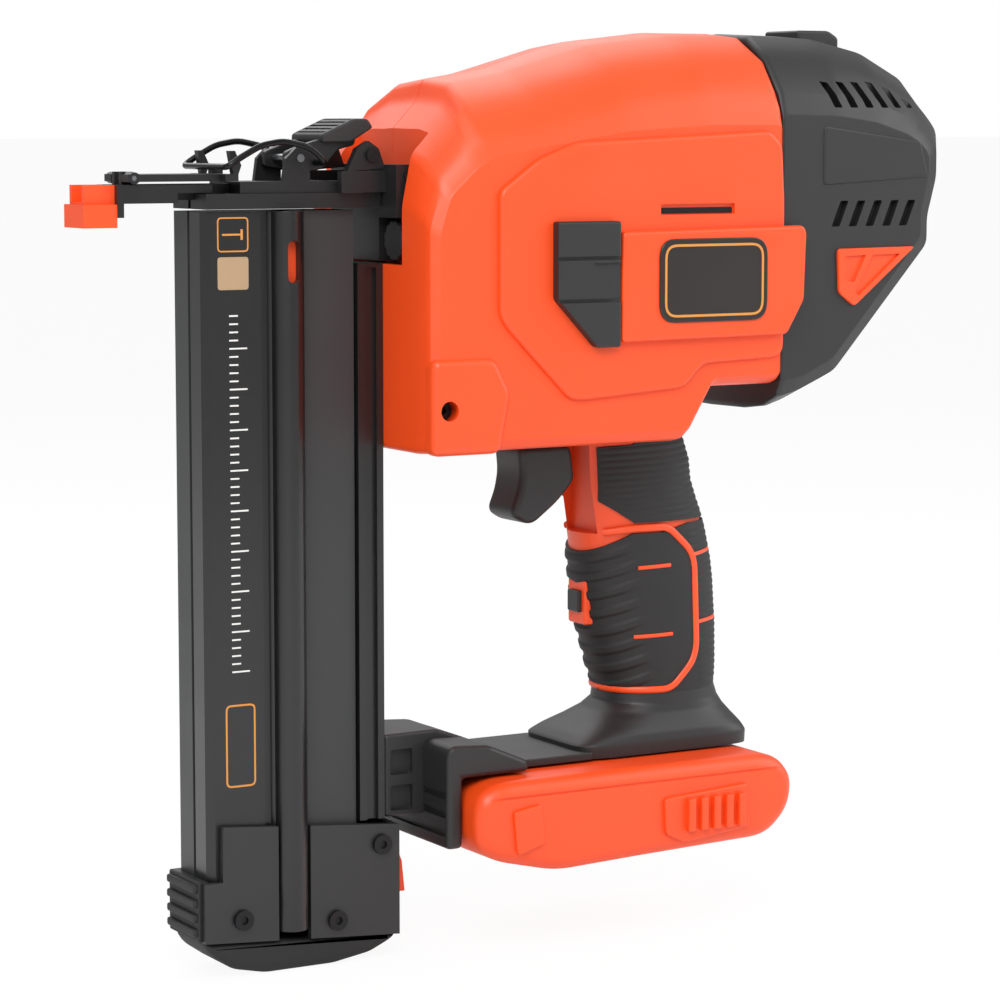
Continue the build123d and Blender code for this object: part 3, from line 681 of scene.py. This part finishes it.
@dataclass
class RearCap:
    """Black rear cap with slanted vents, a raised band and the stall-release lever."""

    # Distance from the middle and the outline there, in X and Z.
    stations: tuple = (
        (0.0, [(78, 294.3), (104, 293.8), (125, 290), (142, 281), (148.8, 272), (150.3, 266),
               (150.3, 244), (143.5, 232), (143.5, 222), (104, 180), (86, 172.8), (78, 170.2)]),
        (20, [(78, 293.2), (104, 292.4), (124, 288), (141, 279.4), (148, 270.4), (150.2, 264.6),
              (150.2, 245), (143.5, 232), (143.5, 222.6), (104, 180.4), (86, 173), (78, 170.6)]),
        (31, [(78, 286), (104, 285), (122, 281), (138, 273), (145, 266), (148.2, 262),
              (148.2, 246), (142, 233), (142, 223.6), (103.4, 181.6), (86, 174.4), (78, 172)]),
        (39.5, [(78, 275), (102, 274), (119, 271), (133, 265.6), (139, 261), (142, 257),
                (142, 247), (138.4, 234), (138.4, 225), (101, 184), (86.6, 178), (78, 176)]),
        (42, [(78, 268), (100, 267.6), (116, 265.4), (129, 261.4), (134.5, 258), (137.5, 254.6),
              (137.5, 247.6), (134.4, 236.5), (134.4, 227.4), (99, 188), (87, 182.4), (78, 181)]),
    )
    trim: tuple = ((99.5, 224), (130.8, 224.3), (106.4, 205), (100.1, 209.6))

    pockets: tuple = (((102.4, 221.6), (110.6, 221.8), (106, 213), (102.8, 213.6)),
                      ((113.4, 221.8), (124.6, 222), (108, 208.6), (106.4, 209.6)))
    corner: float = 2.4
    end_inset: float = 0.8
    end_depth: float = 0.4
    band: tuple = ((94, 244.6), (94, 264), (133, 259), (136.5, 247))
    band_span: tuple = (39, 42.9)
    trim_span: tuple = (41, 43.5)
    pocket_span: tuple = (42.6, 46)
    lever_recess: tuple = ((105.5, 124.2), (287, 310))
    lever_recess_half: float = 10.5
    lever: tuple = ((106.1, 289.6), (106.1, 295.6), (119, 295.6), (122.9, 293.3), (122.9, 289.6))
    lever_half: float = 9.9
    # First x, pitch and number of the slanted vents, and each vent's outline from its first x.
    upper_vents: tuple = (96, 6.6, 6)
    upper_span: tuple = (33.5, 46)
    upper_vent: tuple = ((0, 278.4), (3.2, 278.0), (6.4, 269.8), (3.2, 269.8))
    lower_vents: tuple = (101, 6.8, 5)
    lower_span: tuple = (39.5, 46)
    lower_vent: tuple = ((0, 239.6), (3.2, 239.6), (-0.4, 231.2), (-3.6, 231.2))

    def vents(self, row: tuple, outline: tuple, limits: tuple) -> list[Piece]:
        """Cutters for one row of vents between two Y limits."""
        start, pitch, count = row
        return [cutter([(start + vent * pitch + x, z) for x, z in outline], *limits, 0.5)
                for vent in range(count)]

    def shell(self) -> Piece:
        """Cap from side to side, with its vents and the lever's recess."""
        outer = list(reversed([s for s in self.stations if s[0] > 0]))
        order = [(-y, pts) for y, pts in outer] + list(self.stations)
        rings = [rounded(points, self.corner) for _, points in order]
        rings = [inset(rings[0], self.end_inset)] + rings + [inset(rings[-1], self.end_inset)]
        end = order[-1][0] + self.end_depth
        depths = [-end] + [y for y, _ in order] + [end]
        cap = stacked("rear_cap_shell", rings, depths, Axis.Y, Look.BLACK_NYLON)
        cutters = [cutter(box_points(*self.lever_recess), -self.lever_recess_half,
                          self.lever_recess_half, edge=0.2)]
        for side in SIDES.values():
            cutters += self.vents(self.upper_vents, self.upper_vent, span(side, *self.upper_span))
            cutters += self.vents(self.lower_vents, self.lower_vent, span(side, *self.lower_span))
        return carve(cap, cutters)

    def build(self) -> None:
        """Make the cap, its bands and trims, and the stall-release lever."""
        place(self.shell(), "tool", "black_abs", ("rear_cap",))
        for name, side in SIDES.items():
            band = prism(f"cap_band_{name}", self.band, *span(side, *self.band_span),
                         Look.BLACK_NYLON, corner=1.4, edge=0.8)
            place(band, "tool", "black_abs")
            trim = prism(f"cap_trim_{name}", self.trim, *span(side, *self.trim_span),
                         Look.ORANGE_ABS, corner=1.4, edge=0.5)
            pockets = [cutter(points, *span(side, *self.pocket_span), 0.4)
                       for points in self.pockets]
            place(carve(trim, pockets), "tool", "orange_abs", ("cap_trims",) if side < 0 else ())
        lever = prism("stall_release_shell", self.lever, -self.lever_half, self.lever_half,
                      Look.BLACK_NYLON, corner=1.2, edge=1.0)
        ribs = [cutter(box_points((108 + i * 3, 109.1 + i * 3), (294.8, 298)), -8, 8)
                for i in range(4)]
        place(carve(lever, ribs), "stall_release", "black_abs", ("stall_release_lever",))


# ---- handle -------------------------------------------------------------------------------
@dataclass
class Handle:
    """Orange handle column with its two overmoulded grips, stripe, slider and trigger.

    Its cross-sections are superellipses between a front and a rear line.
    """

    power: float = 2.3
    heights: tuple = (62, 71.8, 78.7, 85.6, 92.5, 99, 106, 113, 120, 127, 134, 141, 147, 154, 163,
                      170, 178)
    front: tuple = (38.2, 37.7, 36, 33.6, 31.5, 29.5, 28.3, 27, 26.2, 25.5, 24.5, 23.5, 22.5, 22,
                    22, 22, 22)
    rear: tuple = (76.0, 76.0, 76.0, 76.4, 76.4, 76.4, 75.9, 75.5, 74.6, 73, 71.4, 68.6, 66.5,
                   65.7, 62.6, 58, 52.5)
    half: tuple = (15.6, 15.7, 15.8, 15.9, 16, 16, 16, 16, 16, 16, 16, 15.9, 15.8, 15.8, 15.6,
                   15.4, 15.0)
    skin_depth: float = 1.6
    skin_edge: float = 0.35
    skin_sharp: float = 60.0
    rib_pitch: float = 2.1
    front_rib_pitch: float = 3.1
    upper_low: float = 134.6
    upper_high: float = 173.6
    lower_low: float = 77.5
    stripe_width: float = 2.3
    mark_width: float = 1.3
    bead_lift: float = 1.15
    stripe_path: tuple = ((30, 131.6), (38, 132.8), (51, 132.8), (60, 124.5), (61.8, 120),
                          (62.6, 92), (61, 87), (53, 78.6), (34, 78.4))
    marks: tuple = (("upper", ((40.5, 119.6), (52, 120.0))), ("lower", ((40, 96.6), (53, 97))),
                    ("rear_upper", ((60.5, 122.6), (70, 123.6))),
                    ("rear_lower", ((62.6, 100), (72, 100.6))))
    trigger: tuple = ((-0.7, 161), (0.2, 152), (-0.9, 146), (-3.7, 139.1), (0.5, 136.2),
                      (4.9, 135.3), (14, 142), (20.8, 149), (18.9, 161))
    trigger_half: float = 9.0
    trigger_slot: tuple = ((-2, 30), (131, 163))
    slider_window: tuple = ((15, 33.5), (88, 117))
    slider: tuple = ((26.1, 32.4), (100.2, 115.8))
    knob: tuple = ((24.6, 27), (104.4, 111.6))

    def section(self, z: np.ndarray, turn: np.ndarray, grow: float | np.ndarray) -> np.ndarray:
        """Points of the surface.

        Args:
            z: heights.
            turn: angles of the same shape, zero at the rear.
            grow: how far outside the column.

        Returns:
            Array of the same shape with a last axis x, y, z.
        """
        front, rear, half = (np.interp(z, self.heights, v) for v in
                             (self.front, self.rear, self.half))
        return superellipse(turn, z, (front - grow, rear + grow), half + grow, self.power)

    def angle_at(self, z: np.ndarray, x: np.ndarray) -> np.ndarray:
        """Angle at which the section at z reaches x, between 0 and pi."""
        front, rear = (np.interp(z, self.heights, v) for v in (self.front, self.rear))
        share = np.clip((x - (front + rear) / 2) / ((rear - front) / 2), -0.9999, 0.9999)
        return np.arccos(np.sign(share) * np.abs(share) ** (self.power / 2))

    def column(self) -> Piece:
        """Closed orange column with the trigger and slider openings cut in it."""
        z = np.linspace(62, 178, 60)[:, None]
        turn = np.linspace(0, 2 * math.pi, 72, endpoint=False)[None, :]
        grid = self.section(z + 0 * turn, turn + 0 * z, 0.0)
        column = finish_mesh("handle_column", grid.reshape(-1, 3), ring_faces(60, 72),
                             Look.ORANGE_ABS)
        cutters = [cutter(box_points(*self.trigger_slot), -9.5, 9.5),
                   cutter(box_points(*self.slider_window), -6.2, 6.2)]
        return carve(column, cutters)

    def patch(self, name: str, grid: np.ndarray) -> Piece:
        """Overmoulded skin: a grid of the surface given a thickness inwards."""
        faces = grid_faces(*grid.shape[:2], False, False)
        skin = finish_mesh(name, grid.reshape(-1, 3), faces, Look.GRIP_TPE, self.skin_sharp)
        skin.modifiers.clear()
        solid = skin.modifiers.new("thickness", "SOLIDIFY")
        solid.thickness = self.skin_depth * MM
        solid.offset = -1
        bevel = skin.modifiers.new("soft_edge", "BEVEL")
        bevel.width = self.skin_edge * MM
        bevel.segments = 2
        bevel.limit_method = "ANGLE"
        bevel.angle_limit = math.radians(self.skin_sharp)
        return skin

    def upper_grip(self) -> Piece:
        """Rear overmould with fine ribs, wrapped from one side round the back to the other."""
        share = np.linspace(0, 1, 140)[:, None]
        z = self.upper_low + share * (self.upper_high - self.upper_low)
        edge_x = np.interp(z, [134.6, 142, 159.6, 160.4, 168.4, 173.6], [39, 28, 27, 38, 46, 57.5])
        limit = self.angle_at(z, edge_x)
        across = np.linspace(-1, 1, 64)[None, :]
        turn = across * limit
        fade = np.clip((1 - np.abs(across)) * 10, 0, 1) * np.clip(share * 20, 0, 1)
        fade = fade * np.clip((1 - share) * 20, 0, 1)
        rib = 0.30 * np.abs(np.sin(math.pi * (z + 0.12 * np.abs(turn) * 8) / self.rib_pitch))
        grow = 1.0 + (rib - 0.15) * fade
        return self.patch("upper_grip_skin", self.section(z + 0 * turn, turn, grow))

    def lower_grip(self) -> Piece:
        """Grip that goes all the way round the lower handle, ribbed at the front."""
        turn = np.linspace(-math.pi, math.pi, 144)[None, :]
        x_guess = self.section(np.full_like(turn, 125.0), turn, 0.0)[..., 0]
        top = np.interp(x_guess, [22, 39.5, 50, 62, 80], [123, 131, 131, 133.6, 133.6])
        share = np.linspace(0, 1, 150)[:, None]
        z = self.lower_low + share * (top - self.lower_low)
        fade = np.clip(share * 16, 0, 1) * np.clip((1 - share) * 16, 0, 1)
        near_front = np.clip((np.abs(turn) - 1.9) * 4, 0, 1)
        wave = np.sin(math.pi * (z - 0.35 * x_guess) / self.front_rib_pitch)
        rib = 0.5 * np.clip(wave * 2.0, -0.4, 1)
        rear_rib = 0.25 * np.abs(np.sin(math.pi * z / self.rib_pitch))
        grow = 1.0 + fade * (rib * near_front + rear_rib * (1 - near_front) * (np.abs(turn) < 1.2))
        return self.patch("lower_grip_skin", self.section(z + 0 * turn, turn + 0 * z, grow))

    def stripe(self, name: str, side: int, points: Points, width: float) -> Piece:
        """Raised orange bead that lies on the grip's surface along a side-view path."""
        path = smooth_path([(x, 0.0, z) for x, z in points], 3.0)
        step = np.concatenate([[0], np.cumsum(np.linalg.norm(np.diff(path, axis=0), axis=1))])
        even = np.linspace(0, step[-1], max(8, int(step[-1] / 1.2)))
        x, z = np.interp(even, step, path[:, 0]), np.interp(even, step, path[:, 2])
        turn = self.angle_at(z, x) * side
        surface = self.section(z, turn, self.bead_lift)
        return tube(name, surface, width / 2, Look.ORANGE_ABS, 10, 0.6)

    def build(self) -> None:
        """Make the handle with its grips, stripes, trigger and slider."""
        place(self.column(), "tool", "orange_abs")
        place(self.upper_grip(), "tool", "rubber_grip", ("upper_grip",))
        place(self.lower_grip(), "tool", "rubber_grip", ("lower_grip",))
        for name, side in SIDES.items():
            stripe = self.stripe(f"grip_stripe_{name}", side, self.stripe_path, self.stripe_width)
            place(stripe, "tool", "orange_abs")
            for label, ends in self.marks:
                mark = self.stripe(f"grip_mark_{label}_{name}", side, ends, self.mark_width)
                place(mark, "tool", "orange_abs")
        trigger = prism("trigger_shell", self.trigger, -self.trigger_half, self.trigger_half,
                        Look.BLACK_NYLON, corner=3, edge=2.4, steps=5)
        place(trigger, "trigger", "black_abs", ("trigger",))
        slider = prism("lock_off_shell", box_points(*self.slider), -5.4, 5.4,
                       Look.ORANGE_ABS, corner=1.2, edge=0.8)
        knob = prism("lock_off_knob", box_points(*self.knob), -3.4, 3.4,
                     Look.BLACK_NYLON, corner=0.7, edge=0.5)
        place(slider, "lock_off", "orange_abs", ("lock_off_slider",))
        place(knob, "lock_off", "black_abs")


# ---- foot, bracket and battery ------------------------------------------------------------
@dataclass
class Base:
    """Battery foot, the bracket to the magazine rail and the battery pack."""

    # Height, front, rear, half width and power of each section of the flared foot.
    foot: tuple = ((58.4, 16.6, 83.4, 20.8, 7), (62.5, 16.4, 83.6, 20.9, 7), (65, 20, 83, 20.4, 5),
                   (68, 26, 81.4, 18.8, 3.6), (71, 31.5, 79.6, 17.4, 2.8),
                   (74, 35, 78.2, 16.9, 2.4), (78.4, 35.4, 76.9, 16.6, 2.3),
                   (80, 36.2, 76.4, 16.0, 2.3))
    battery: tuple = ((-31.8, 37), (-31.8, 53), (-24, 57.6), (76, 57.6), (84, 55.5), (89.5, 48.5),
                      (88, 38), (79, 29.6), (30, 28), (-2, 26.7), (-24, 32))
    half: float = 37.4
    button_pocket: tuple = ((80, 100), (40, 52))
    button: tuple = ((81.5, 90.6), (40.6, 51.4))
    seam: tuple = ((-40, 100), (52.4, 53.1))
    side_block: tuple = ((36.5, 47), (69, 49), (70, 34.5), (44, 31.6), (37, 35))
    rib_start: float = 44.5
    rib_pitch: float = 4.9
    rib_width: float = 2.8
    rib_count: int = 5
    corner_square: tuple = ((-20, 48.4), (-10, 50), (-8.4, 37), (-18.6, 34))
    neck: tuple = ((-51.6, 45), (-51.6, 71.8), (-33, 72), (-23, 68.5), (-8.2, 62.2),
                   (-8.2, 58.5), (-32.6, 58.5), (-32.6, 45))
    cup: tuple = ((-38, 36), (-38, 67), (-36, 69.4), (-23, 68.5), (-8.2, 62), (-8.2, 58.5),
                  (-32.5, 58.5), (-32.5, 36))
    foot_rail: tuple = ((-8, 20), (58.4, 60.9))

    def foot_shell(self, levels: int = 40, count: int = 96) -> Piece:
        """Foot that flares from the grip down to the battery."""
        rows = np.array(self.foot)
        z = np.linspace(rows[0, 0], rows[-1, 0], levels)[:, None]
        front, rear, half, power = (np.interp(z, rows[:, 0], rows[:, k]) for k in range(1, 5))
        turn = np.linspace(0, 2 * math.pi, count, endpoint=False)[None, :]
        grid = superellipse(turn, z, (front, rear), half, power)
        return finish_mesh("battery_foot_shell", grid.reshape(-1, 3), ring_faces(levels, count),
                           Look.BLACK_NYLON)

    def battery_pack(self) -> None:
        """Orange case with a stepped side block, ribs and the release button."""
        case = prism("battery_case_shell", self.battery, -self.half, self.half,
                     Look.ORANGE_ABS, corner=6, edge=5, steps=6)
        cutters = [cutter(box_points(*self.button_pocket), -12, 12)]
        cutters += [cutter(box_points(*self.seam), *span(side, 36.9, 40), edge=0.05)
                    for side in SIDES.values()]
        place(carve(case, cutters), "battery", "orange_abs", ("battery_case",))
        for name, side in SIDES.items():
            pieces = [prism(f"battery_block_{name}", self.side_block, *span(side, 35, 38.9),
                            Look.ORANGE_ABS, corner=1.6, edge=0.8)]
            for rib in range(self.rib_count):
                x = self.rib_start + rib * self.rib_pitch
                pieces.append(prism("rib", box_points((x, x + self.rib_width), (35.4, 46.4)),
                                    *span(side, 38, 41.2), Look.ORANGE_ABS, corner=0.8, edge=0.7))
            place(join(f"battery_block_{name}", pieces), "battery", "orange_abs")
            square = prism(f"battery_corner_{name}", self.corner_square, *span(side, 35, 38.8),
                           Look.ORANGE_ABS, corner=1.4, edge=0.7)
            place(square, "battery", "orange_abs")
        button = prism("battery_button_shell", box_points(*self.button), -11.4, 11.4,
                       Look.BLACK_NYLON, corner=1.4, edge=1.2)
        place(button, "battery_release", "black_abs", ("battery_button",))

    def bracket(self) -> None:
        """Black arm from the rail, round the front of the battery and on to the foot."""
        neck = prism("bracket_neck", self.neck, -11, 11, Look.BLACK_NYLON, corner=1.6, edge=1.2)
        pockets = [cutter(box_points((-49.6, -41.6), (z, z + 8.2)), *span(side, 9, 14), 1)
                   for z in (47, 58.5) for side in SIDES.values()]
        wide = prism("bracket_cup", self.cup, -28, 28, Look.BLACK_NYLON, corner=1.8, edge=1.8)
        grooves = [cutter(box_points((-40, -36.9), (40 + i * 6, 42.2 + i * 6)), -26, 26)
                   for i in range(3)]
        arm = join("support_bracket_shell", [carve(neck, pockets), carve(wide, grooves)])
        place(arm, "tool", "black_abs", ("support_bracket",))

    def build(self) -> None:
        """Make the base."""
        place(self.foot_shell(), "tool", "black_abs", ("battery_foot",))
        flange = prism("foot_rail", box_points(*self.foot_rail), -20.8, 20.8, Look.BLACK_NYLON,
                       corner=0.6, edge=0.4)
        place(flange, "tool", "black_abs")
        self.bracket()
        self.battery_pack()


# ---- magazine -----------------------------------------------------------------------------
@dataclass
class Magazine:
    """Sliding cover with its column and window, printed marks, rubber foot and pull plate."""

    bottom: float = 13.0
    top: float = 238.0
    face_y: float = -10.5
    column_x: float = -84.65
    column_y: float = -10.3
    column_radius: float = 5.3
    window: tuple = ((-86.6, -82.6), (216, 229))
    plate: tuple = ((-108.2, -97.8), (214.2, 224.2))
    brad: tuple = ((-106.6, 230.7), (-106.6, 231.3), (-100.4, 231.3), (-100.4, 232.6),
                   (-99.6, 232.6), (-99.6, 229.4), (-100.4, 229.4), (-100.4, 230.7))
    tick_start: float = 96.0
    tick_pitch: float = 2.5
    tick_count: int = 45
    tick_left: float = -104.5
    tick_ends: tuple = (-101.5, -98.5)
    foot: tuple = ((-115.5, 12.1), (-113, 8), (-105, 2.4), (-94, 0), (-70, 0), (-57, 2), (-50, 5),
                   (-47.5, 7.2))
    pull_base: tuple = ((-117, -115.5), (12.4, 31.5))
    pull_pitch: float = 4.6

    def cover(self) -> Piece:
        """Extruded section: label face, a groove and the hollow round column."""
        turn = np.linspace(math.pi, 2 * math.pi, 13)
        bump = list(zip((self.column_x + self.column_radius * np.cos(turn)).tolist(),
                        (self.column_y + self.column_radius * np.sin(turn)).tolist()))
        outline = [(-113, -0.85), (-113, -8.2), (-110.8, self.face_y), (-93.6, self.face_y),
                   (-93.2, -9.2), (-91.0, -9.2), (-90.4, -10.0)] + bump + [
                   (-79.35, -0.85), (-81, -0.85), (-81, -12.4), (-88.3, -12.4), (-88.3, -0.85)]
        cover = prism("magazine_cover_shell", outline, self.bottom, self.top,
                      Look.BLACK_ANODISED, Axis.Z, corner=0, edge=0.15, steps=2)
        return carve(cover, [cutter(box_points(*self.window), -20, -11.5, 1.9)])

    def print_marks(self) -> None:
        """Plain printed frames and a bare tick scale on the label face."""
        depth = (self.face_y - 0.06, self.face_y + 0.1)
        tall = outline_ring("print_frame_upper", (-103.0, 231.0), (10.5, 10.6), 1.4, 0.45, depth,
                            Look.AMBER_INK)
        plate = prism("print_plate", box_points(*self.plate), *depth, Look.TAN_INK, corner=1.0,
                      edge=0.03)
        low = outline_ring("print_frame_lower", (-101.8, 73.0), (10.2, 26.0), 2.0, 0.6, depth,
                           Look.AMBER_INK)
        nail = prism("print_brad_mark", self.brad, *depth, Look.AMBER_INK, corner=0, edge=0.02)
        pieces = [tall, plate, low, nail]
        ticks = []
        for tick in range(self.tick_count):
            z = self.tick_start + tick * self.tick_pitch
            end = self.tick_ends[tick % 5 == 0]
            ticks.append(prism("tick", box_points((self.tick_left, end), (z, z + 0.5)), *depth,
                               Look.WHITE_INK, corner=0, edge=0.02))
        pieces.append(join("print_scale", ticks))
        for piece in pieces:
            place(piece, "cover", "black_anodised")

    def build(self) -> None:
        """Make the magazine."""
        place(self.cover(), "cover", "black_anodised", ("magazine_cover",))
        self.print_marks()
        foot = prism("magazine_foot_shell", self.foot, -12, 12, Look.GRIP_TPE, corner=2, edge=2.6,
                     steps=5)
        place(foot, "cover", "rubber_grip", ("magazine_foot",))
        pull = [prism("pull_base", box_points(*self.pull_base), -11, 11, Look.GRIP_TPE,
                      corner=0.6, edge=0.5)]
        for rib in range(4):
            z = 14 + rib * self.pull_pitch
            pull.append(prism("pull_rib", box_points((-118.3, -116.2), (z, z + 2.6)), -10.4, 10.4,
                              Look.GRIP_TPE, corner=0.8, edge=0.8))
        place(join("pull_plate_shell", pull), "cover", "rubber_grip", ("pull_plate",))


# ---- nose ---------------------------------------------------------------------------------
@dataclass
class Nose:
    """Latch lever with its ribbed paddle, and the wire bail."""

    arm: tuple = ((-84, 251.4), (-84, 256), (-78, 258.2), (-70, 260.5), (-60, 262), (-60, 258),
                  (-66, 256.6), (-71.5, 250.6), (-76, 250))
    paddle: tuple = ((-72.4, 258.8), (-72.4, 261.4), (-61.4, 266.2), (-56.6, 266.2),
                     (-54.6, 263.4), (-62.4, 258.8))
    grooves: int = 5
    bail_side: tuple = ((-74, 252.6), (-76.5, 255.4), (-80, 257.6), (-88.4, 259.3), (-96, 258),
                        (-103.5, 254), (-107.0, 251.6))
    bail_half: float = 16.0
    wire_radius: float = 1.0

    def lever(self) -> None:
        """Two steel arms and the ribbed paddle across them."""
        arms = [prism("lever_arm", self.arm, *span(side, 6, 9), Look.PHOSPHATE, corner=1.4,
                      edge=0.5) for side in SIDES.values()]
        paddle = prism("paddle", self.paddle, -11, 11, Look.BLACK_NYLON, corner=1, edge=0.8)
        cutters = []
        for groove in range(self.grooves):
            x, z = -71.2 + groove * 2.3, 261.1 + groove
            points = [(x, z), (x + 1.0, z + 0.45), (x + 0.2, z + 3), (x - 0.8, z + 3)]
            cutters.append(cutter(points, -9.6, 9.6, edge=0.05))
        place(join("lever_arms", arms), "lever", "phosphated_steel", ("latch_lever",))
        place(carve(paddle, cutters), "lever", "black_abs")

    def bail(self) -> None:
        """Wire that goes from the lever over the door's hooks and back."""
        x, z = self.bail_side[0]
        near = [(x, -6.5, z)] + [(x, -self.bail_half, z) for x, z in self.bail_side]
        far = [(x, -y, z) for x, y, z in reversed(near)]
        wire = tube("latch_bail_wire", smooth_path(near + far, 2.4), self.wire_radius,
                    Look.SPRING_WIRE, 14)
        place(wire, "bail", "phosphated_steel", ("latch_bail",))

    def build(self) -> None:
        """Make the lever and the bail."""
        self.lever()
        self.bail()


# ---- CAD nodes that keep their own shape ----------------------------------------------------
DRESS: dict[Look, tuple[str, ...]] = {
    Look.ORANGE_ABS: ("contact_tip", "nail_follower", "magazine_latch"),
    Look.BLACK_NYLON: ("depth_wheel", "trigger_switch"),
    Look.BLACK_OXIDE: ("housing_screws", "shield_screws", "frame_pins"),
    Look.BLACK_ANODISED: ("mounting_rail",),
    Look.GREY_ANODISED: ("magazine_track",),
    Look.SATIN_PAINT: ("magazine_shield",),
    Look.PHOSPHATE: ("nose_plate", "nose_guide", "jam_door", "contact_arm", "nose_frame"),
    Look.ZINC: ("door_hinge_pins", "latch_pin", "guide_rods", "driver_blade", "flywheel_shaft",
                "flywheel_bearings", "pinch_pivot", "pinch_roller", "flywheel", "pinch_arm"),
    Look.CAST_ALUMINIUM: ("drive_frame", "driver_carriage"),
    Look.MOTOR_ENAMEL: ("drive_motor", "engage_solenoid"),
    Look.BOARD: ("control_board", "motor_controller"),
    Look.CELL_FILM: ("battery_cells",),
    Look.GRIP_TPE: ("stroke_bumpers",),
}


def dress_nodes(nodes: dict[str, Piece]) -> None:
    """Give the shown CAD nodes their finishes.

    Args:
        nodes: the frame's nodes by name.
    """
    for look, names in DRESS.items():
        for name in names:
            node = nodes[name]
            node.data.materials.clear()
            node.data.materials.append(material_of(look))
            LOG.info("%s dressed in %s", name, look.value.name)


# ---- studio -------------------------------------------------------------------------------
@dataclass
class Studio:
    """Pale floor, soft lamps and the camera."""

    azimuth: float = -30.0
    elevation: float = 6.5
    distance: float = 1070.0
    target: tuple[float, float, float] = (-3.0, 0.0, 143.0)
    lens: float = 118.44
    # Place, size and power in watts of each lamp.
    lamps: tuple = ((-700, -900, 1100, 900, 20.0), (1000, -500, 700, 900, 8.0),
                    (200, 900, 1200, 1200, 10.0))

    def aim(self, thing: Piece, spot: Vector) -> None:
        """Turn an object so that its -Z axis points at a spot."""
        heading = spot - thing.location
        thing.rotation_euler = heading.to_track_quat("-Z", "Y").to_euler()

    def build(self) -> None:
        """Make the studio."""
        scene = bpy.context.scene
        azimuth, elevation = math.radians(self.azimuth), math.radians(self.elevation)
        back = Vector((math.sin(azimuth) * math.cos(elevation),
                       -math.cos(azimuth) * math.cos(elevation), math.sin(elevation)))
        spot = Vector(self.target) * MM
        camera = bpy.data.objects.new("camera", bpy.data.cameras.new("camera"))
        camera.data.lens = self.lens
        camera.data.sensor_width = 36.0
        camera.location = spot + back * self.distance * MM
        self.aim(camera, spot)
        scene.collection.objects.link(camera)
        scene.camera = camera
        for index, (x, y, z, size, power) in enumerate(self.lamps):
            light = bpy.data.lights.new(f"softbox_{index}", "AREA")
            light.size = size * MM
            light.energy = power
            lamp = bpy.data.objects.new(f"softbox_{index}", light)
            lamp.location = Vector((x, y, z)) * MM
            self.aim(lamp, spot)
            scene.collection.objects.link(lamp)
        self.world()
        self.floor()
        scene.view_settings.view_transform = "Standard"

    def world(self) -> None:
        """Even surroundings that the camera sees as white."""
        world = bpy.data.worlds.new("studio")
        bpy.context.scene.world = world
        world.use_nodes = True
        tree = world.node_tree
        tree.nodes.clear()
        path = add_node(tree, "ShaderNodeLightPath")
        strength = add_node(tree, "ShaderNodeMapRange", {"To Min": 0.45, "To Max": 1.0},
                            {"Value": path.outputs["Is Camera Ray"]})
        shader = add_node(tree, "ShaderNodeBackground", {"Color": (1, 1, 1, 1)},
                          {"Strength": strength.outputs[0]})
        add_node(tree, "ShaderNodeOutputWorld", links={0: shader.outputs[0]})

    def floor(self) -> None:
        """Pale floor: mostly plain white to the camera, with the object's soft shadow kept."""
        half = 60.0
        mesh = bpy.data.meshes.new("floor")
        mesh.from_pydata([(-half, -half, -0.0002), (half, -half, -0.0002), (half, half, -0.0002),
                          (-half, half, -0.0002)], [], [(0, 1, 2, 3)])
        material = bpy.data.materials.new("painted_floor")
        material.use_nodes = True
        tree = material.node_tree
        tree.nodes.clear()
        path = add_node(tree, "ShaderNodeLightPath")
        share = add_node(tree, "ShaderNodeMath", {1: 0.93}, {0: path.outputs["Is Camera Ray"]},
                         operation="MULTIPLY")
        paint = add_node(tree, "ShaderNodeBsdfDiffuse", {"Color": (0.9, 0.9, 0.9, 1)})
        glow = add_node(tree, "ShaderNodeEmission", {"Color": (1, 1, 1, 1), "Strength": 1.0})
        mixed = add_node(tree, "ShaderNodeMixShader", links={0: share.outputs[0],
                                                             1: paint.outputs[0],
                                                             2: glow.outputs[0]})
        add_node(tree, "ShaderNodeOutputMaterial", links={0: mixed.outputs[0]})
        mesh.materials.append(material)
        floor = bpy.data.objects.new("floor", mesh)
        bpy.context.scene.collection.objects.link(floor)


def main() -> None:
    """Build every sub-assembly round the frame."""
    logging.basicConfig(level=logging.INFO, format="%(message)s")
    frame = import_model()
    Studio().build()
    dress_nodes(frame["nodes"])
    for assembly in (Housing(), RearCap(), Handle(), Base(), Magazine(), Nose()):
        LOG.info("building %s", type(assembly).__name__)
        assembly.build()


if __name__ == "__main__":
    main()
